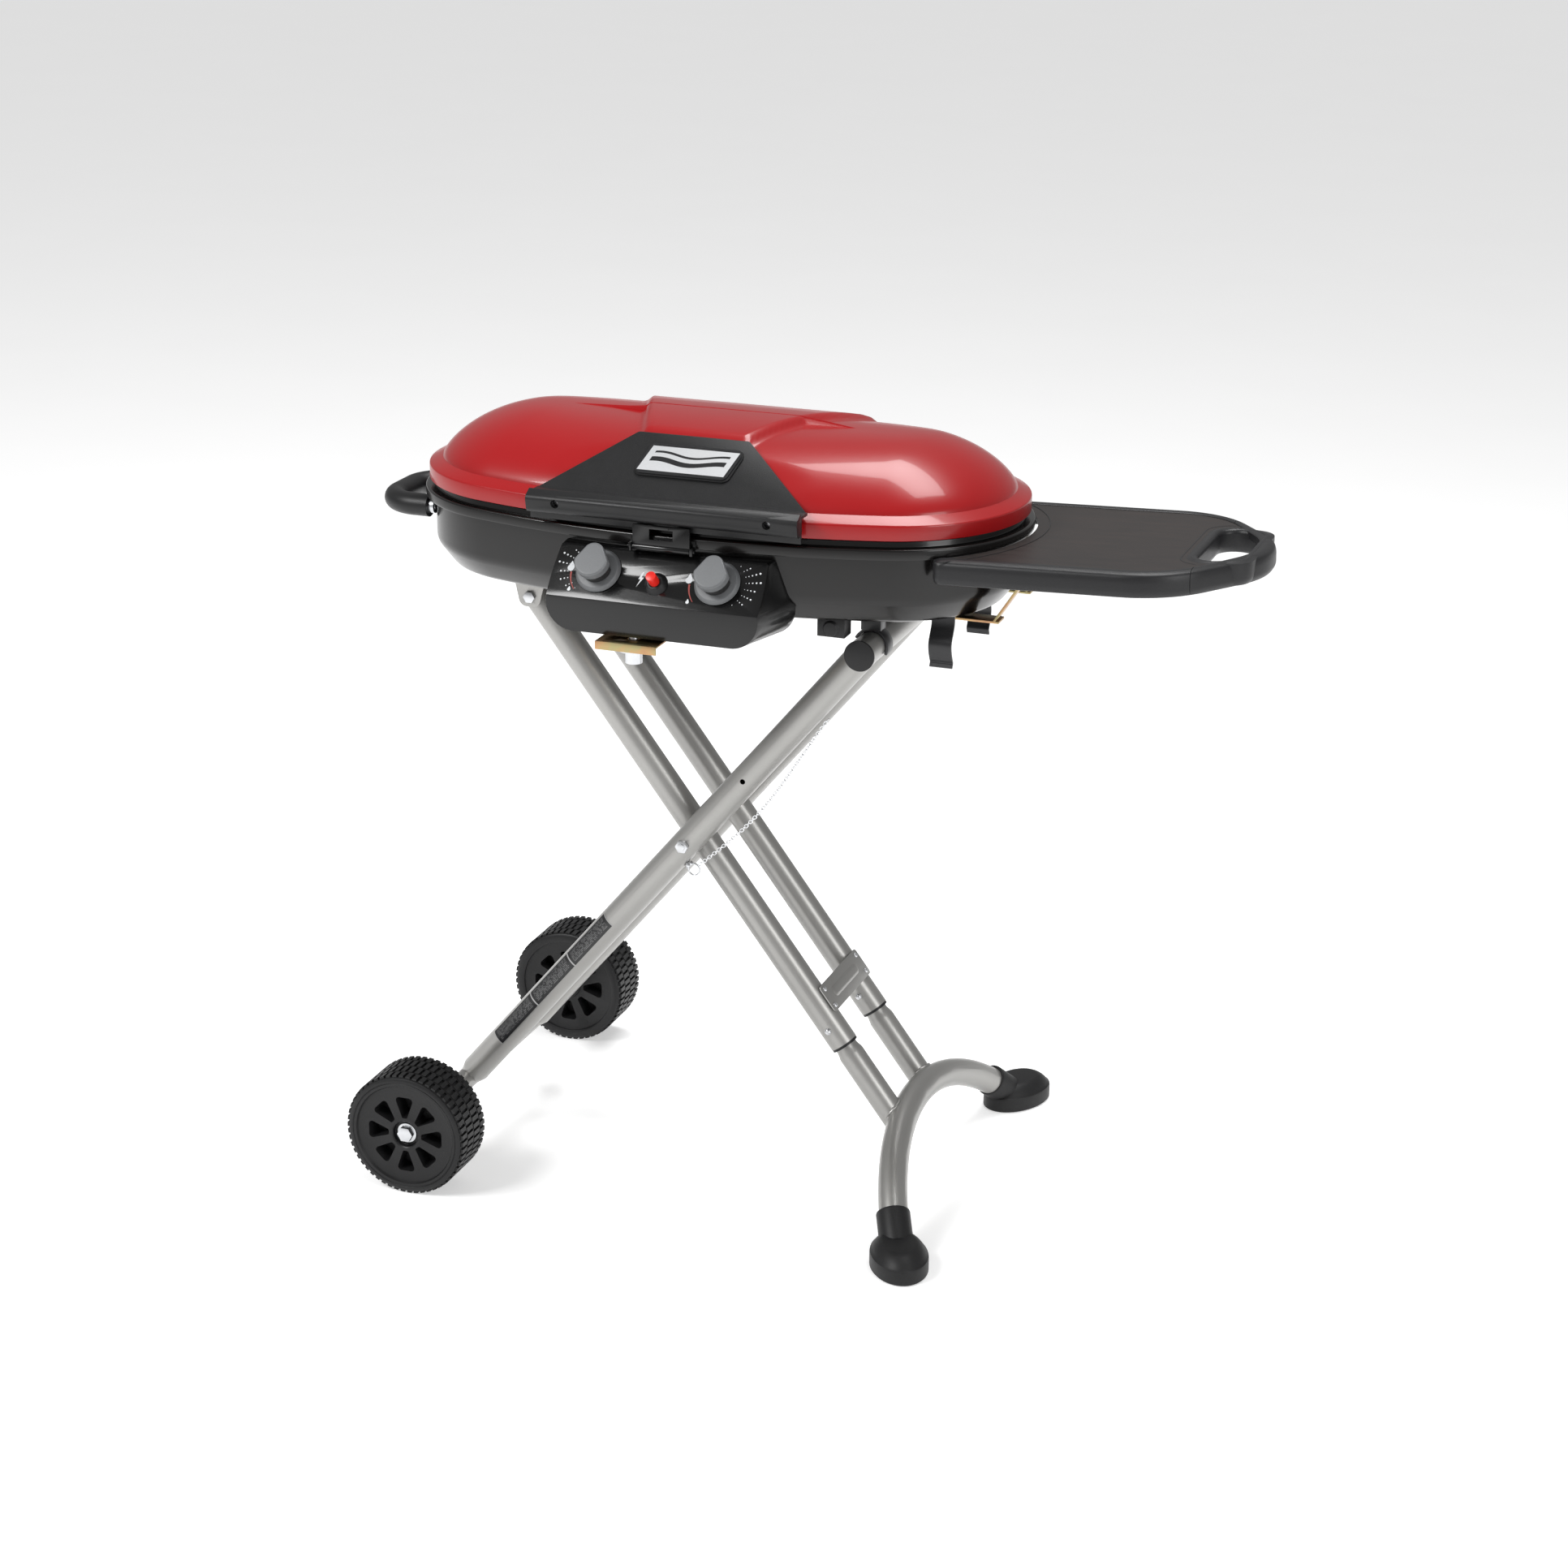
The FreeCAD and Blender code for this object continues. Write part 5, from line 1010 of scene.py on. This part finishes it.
def chain_tree():
    """Tree that threads a link on every point of a curve, each a quarter turn from the last."""
    tree, start, end, sockets = geometry_tree("chain", [
        ("Pitch", "Float", 0.0038), ("Link length", "Float", 0.0026), ("Wire", "Float", 0.0006)])
    along = add(tree, "GeometryNodeResampleCurve", {"mode": "LENGTH"},
                {"Curve": start.outputs["Geometry"], "Length": start.outputs["Pitch"]})
    loop = add(tree, "GeometryNodeCurvePrimitiveCircle", None, {"Radius": start.outputs["Link length"]},
               {"Resolution": 12})
    slim = add(tree, "GeometryNodeTransform", None, {"Geometry": loop.outputs[0]},
               {"Scale": (1.0, 0.66, 1.0)})
    wire = add(tree, "GeometryNodeCurvePrimitiveCircle", None, {"Radius": start.outputs["Wire"]},
               {"Resolution": 6})
    link = add(tree, "GeometryNodeCurveToMesh", None,
               {"Curve": slim.outputs[0], "Profile Curve": wire.outputs[0]})
    tangent = add(tree, "GeometryNodeInputTangent")
    facing = add(tree, "FunctionNodeAlignRotationToVector", {"axis": "X"}, {"Vector": tangent.outputs[0]})
    index = add(tree, "GeometryNodeInputIndex")
    odd = add(tree, "ShaderNodeMath", {"operation": "MODULO"}, {0: index.outputs[0]}, {1: 2.0})
    quarter = add(tree, "ShaderNodeMath", {"operation": "MULTIPLY"}, {0: odd.outputs[0]}, {1: math.pi / 2})
    spin = add(tree, "FunctionNodeAxisAngleToRotation", None, {"Angle": quarter.outputs[0]},
               {"Axis": (1, 0, 0)})
    both = add(tree, "FunctionNodeRotateRotation", {"rotation_space": "LOCAL"},
               {"Rotation": facing.outputs[0], "Rotate By": spin.outputs[0]})
    put = add(tree, "GeometryNodeInstanceOnPoints", None, {
        "Points": along.outputs[0], "Instance": link.outputs[0], "Rotation": both.outputs[0]})
    real = add(tree, "GeometryNodeRealizeInstances", None, {0: put.outputs[0]})
    coat = add(tree, "GeometryNodeSetMaterial", None, {0: real.outputs[0]}, {"Material": CHROME})
    tree.links.new(coat.outputs[0], end.inputs[0])
    return tree, sockets


def make_chain():
    route = bpy.data.curves.new("chain route", "CURVE")
    route.dimensions = "3D"
    line = route.splines.new("NURBS")
    line.points.add(len(CHAIN_POINTS) - 1)
    for point, (x, y, z) in zip(line.points, CHAIN_POINTS):
        point.co = (x / 1000, y / 1000, z / 1000, 1)
    line.order_u = 3
    line.use_endpoint_u = True
    line.resolution_u = 12
    holder = bpy.data.objects.new("chain route", route)
    bpy.context.collection.objects.link(holder)
    graph = bpy.context.evaluated_depsgraph_get()
    graph.update()
    plain = bpy.data.meshes.new_from_object(holder.evaluated_get(graph))
    path = [v.co.copy() for v in plain.vertices]
    bpy.data.objects.remove(holder, do_unlink=True)
    tree, sockets = chain_tree()
    links = grown("tether_chain_links", route, tree, sockets, {"Pitch": 0.0037}, CHROME)
    finish_mesh(links, 60)
    fix(links, "outer_legs", ("tether_chain",))
    return path


# ---- pieces -------------------------------------------------------------------------
make_firebox()
make_rim()
make_lid()
make_badge()
make_table()
make_table_groove()
make_wheel(-1, "front_wheel_body", "front_wheel")
make_wheel(1, "rear_wheel_body", "rear_wheel")
make_foot(-1, "front_boot", ("rubber_feet",))
make_foot(1, "rear_boot")
make_welds()
make_leg_label()
make_tie_slot()
make_hooks()
make_panel_print()
make_chain()

# material, slot, width of the eased edges in millimetres, nodes
EASED = [
    (PLASTIC, "black_plastic", 1.2, ["lid_plate", "lid_grip"]),
    (PLASTIC, "black_plastic", 0.5, ["igniter_socket", "igniter_module", "clip_box", "end_caps"]),
    (PANEL, "black_plastic", 0.8, ["latch_flap"]),
    (PANEL, "black_plastic", 1.6, ["control_panel"]),
    (KNOB_BLACK, "knob_plastic", 0.5, ["left_knob_body", "right_knob_body"]),
    (GREY, "grey_plastic", 0.8, ["left_knob_skirt", "right_knob_skirt"]),
    (GREY, "grey_plastic", 0.0, ["left_knob_cap", "right_knob_cap"]),
    (BUTTON, "red_plastic", 0.7, ["igniter_button"]),
    (IRON, "cast_grate", 0.8, ["left_grate", "right_grate"]),
    (STEEL, "burner_steel", 0.0, ["burners", "grease_tray"]),
    (BRASS, "brass", 0.3, ["valves", "gas_rail"]),
    (ZINC, "zinc", 0.35, ["regulator", "lid_screws", "hinge_bases", "hinge_leaves", "hinge_pins",
                          "tie_rivets", "leg_bolts", "carry_bolts", "axle_bolts", "crossing_bolts",
                          "lock_pin"]),
    (PANEL, "black_plastic", 0.35, ["latch_bracket"]),
    (ZINC, "zinc", 0.0, ["front_spring_button", "rear_spring_button"]),
    (YELLOW, "yellow_zinc", 0.5, ["regulator_bracket", "table_brackets"]),
    (SILVER, "silver_paint", 0.4, ["tie_plate", "leg_bracket"]),
    (SILVER, "silver_paint", 0.0, ["inner_tubes", "foot_bow", "outer_tubes", "cross_tube", "foot_legs",
                                   "axle_tube"]),
    (SPRING, "black_spring", 0.5, ["leg_clip"]),
    (PLASTIC, "black_plastic", 0.0, ["carry_handle", "inner_collars"]),
]
for material, slot, width, members in EASED:
    for node in members:
        softened(node, material, width)

# ---- floor and light ----------------------------------------------------------------
bpy.ops.mesh.primitive_plane_add(size=60, location=(0, 0, -0.0006))
floor = bpy.context.object
floor.name = "floor"
pale = Finish("pale floor")
speck = pale.noise(3, 3)
floor.data.materials.append(pale.done(Base_Color=pale.blend(speck, (0.86, 0.86, 0.86), (0.90, 0.90, 0.90)),
                                      Roughness=0.9, Emission_Color=(1, 1, 1, 1), Emission_Strength=0.42))

world = bpy.data.worlds.new("studio")
world.use_nodes = True
sky = world.node_tree.nodes["Background"]
sky.inputs[0].default_value = (1.0, 1.0, 1.0, 1)
seen = world.node_tree.nodes.new("ShaderNodeLightPath")
level = world.node_tree.nodes.new("ShaderNodeMapRange")
world.node_tree.links.new(seen.outputs["Is Camera Ray"], level.inputs[0])
level.inputs["To Min"].default_value, level.inputs["To Max"].default_value = 0.34, 1.0
world.node_tree.links.new(level.outputs[0], sky.inputs[1])
bpy.context.scene.world = world
bpy.context.scene.view_settings.view_transform = "Standard"


def soft_box(name, at, aim, width, height, power):
    data = bpy.data.lights.new(name, "AREA")
    data.shape, data.size, data.size_y, data.energy = "RECTANGLE", width, height, power
    lamp = bpy.data.objects.new(name, data)
    bpy.context.collection.objects.link(lamp)
    lamp.location = at
    lamp.rotation_euler = (Vector(aim) - Vector(at)).to_track_quat("-Z", "Y").to_euler()


soft_box("key", (-2.2, -2.6, 3.2), (0, 0, 0.5), 1.8, 1.2, 120)
soft_box("top", (0.4, 0.6, 3.4), (0, 0, 0.6), 2.2, 1.0, 75)
soft_box("fill", (2.8, -1.6, 1.6), (0, 0, 0.5), 1.2, 1.8, 35)
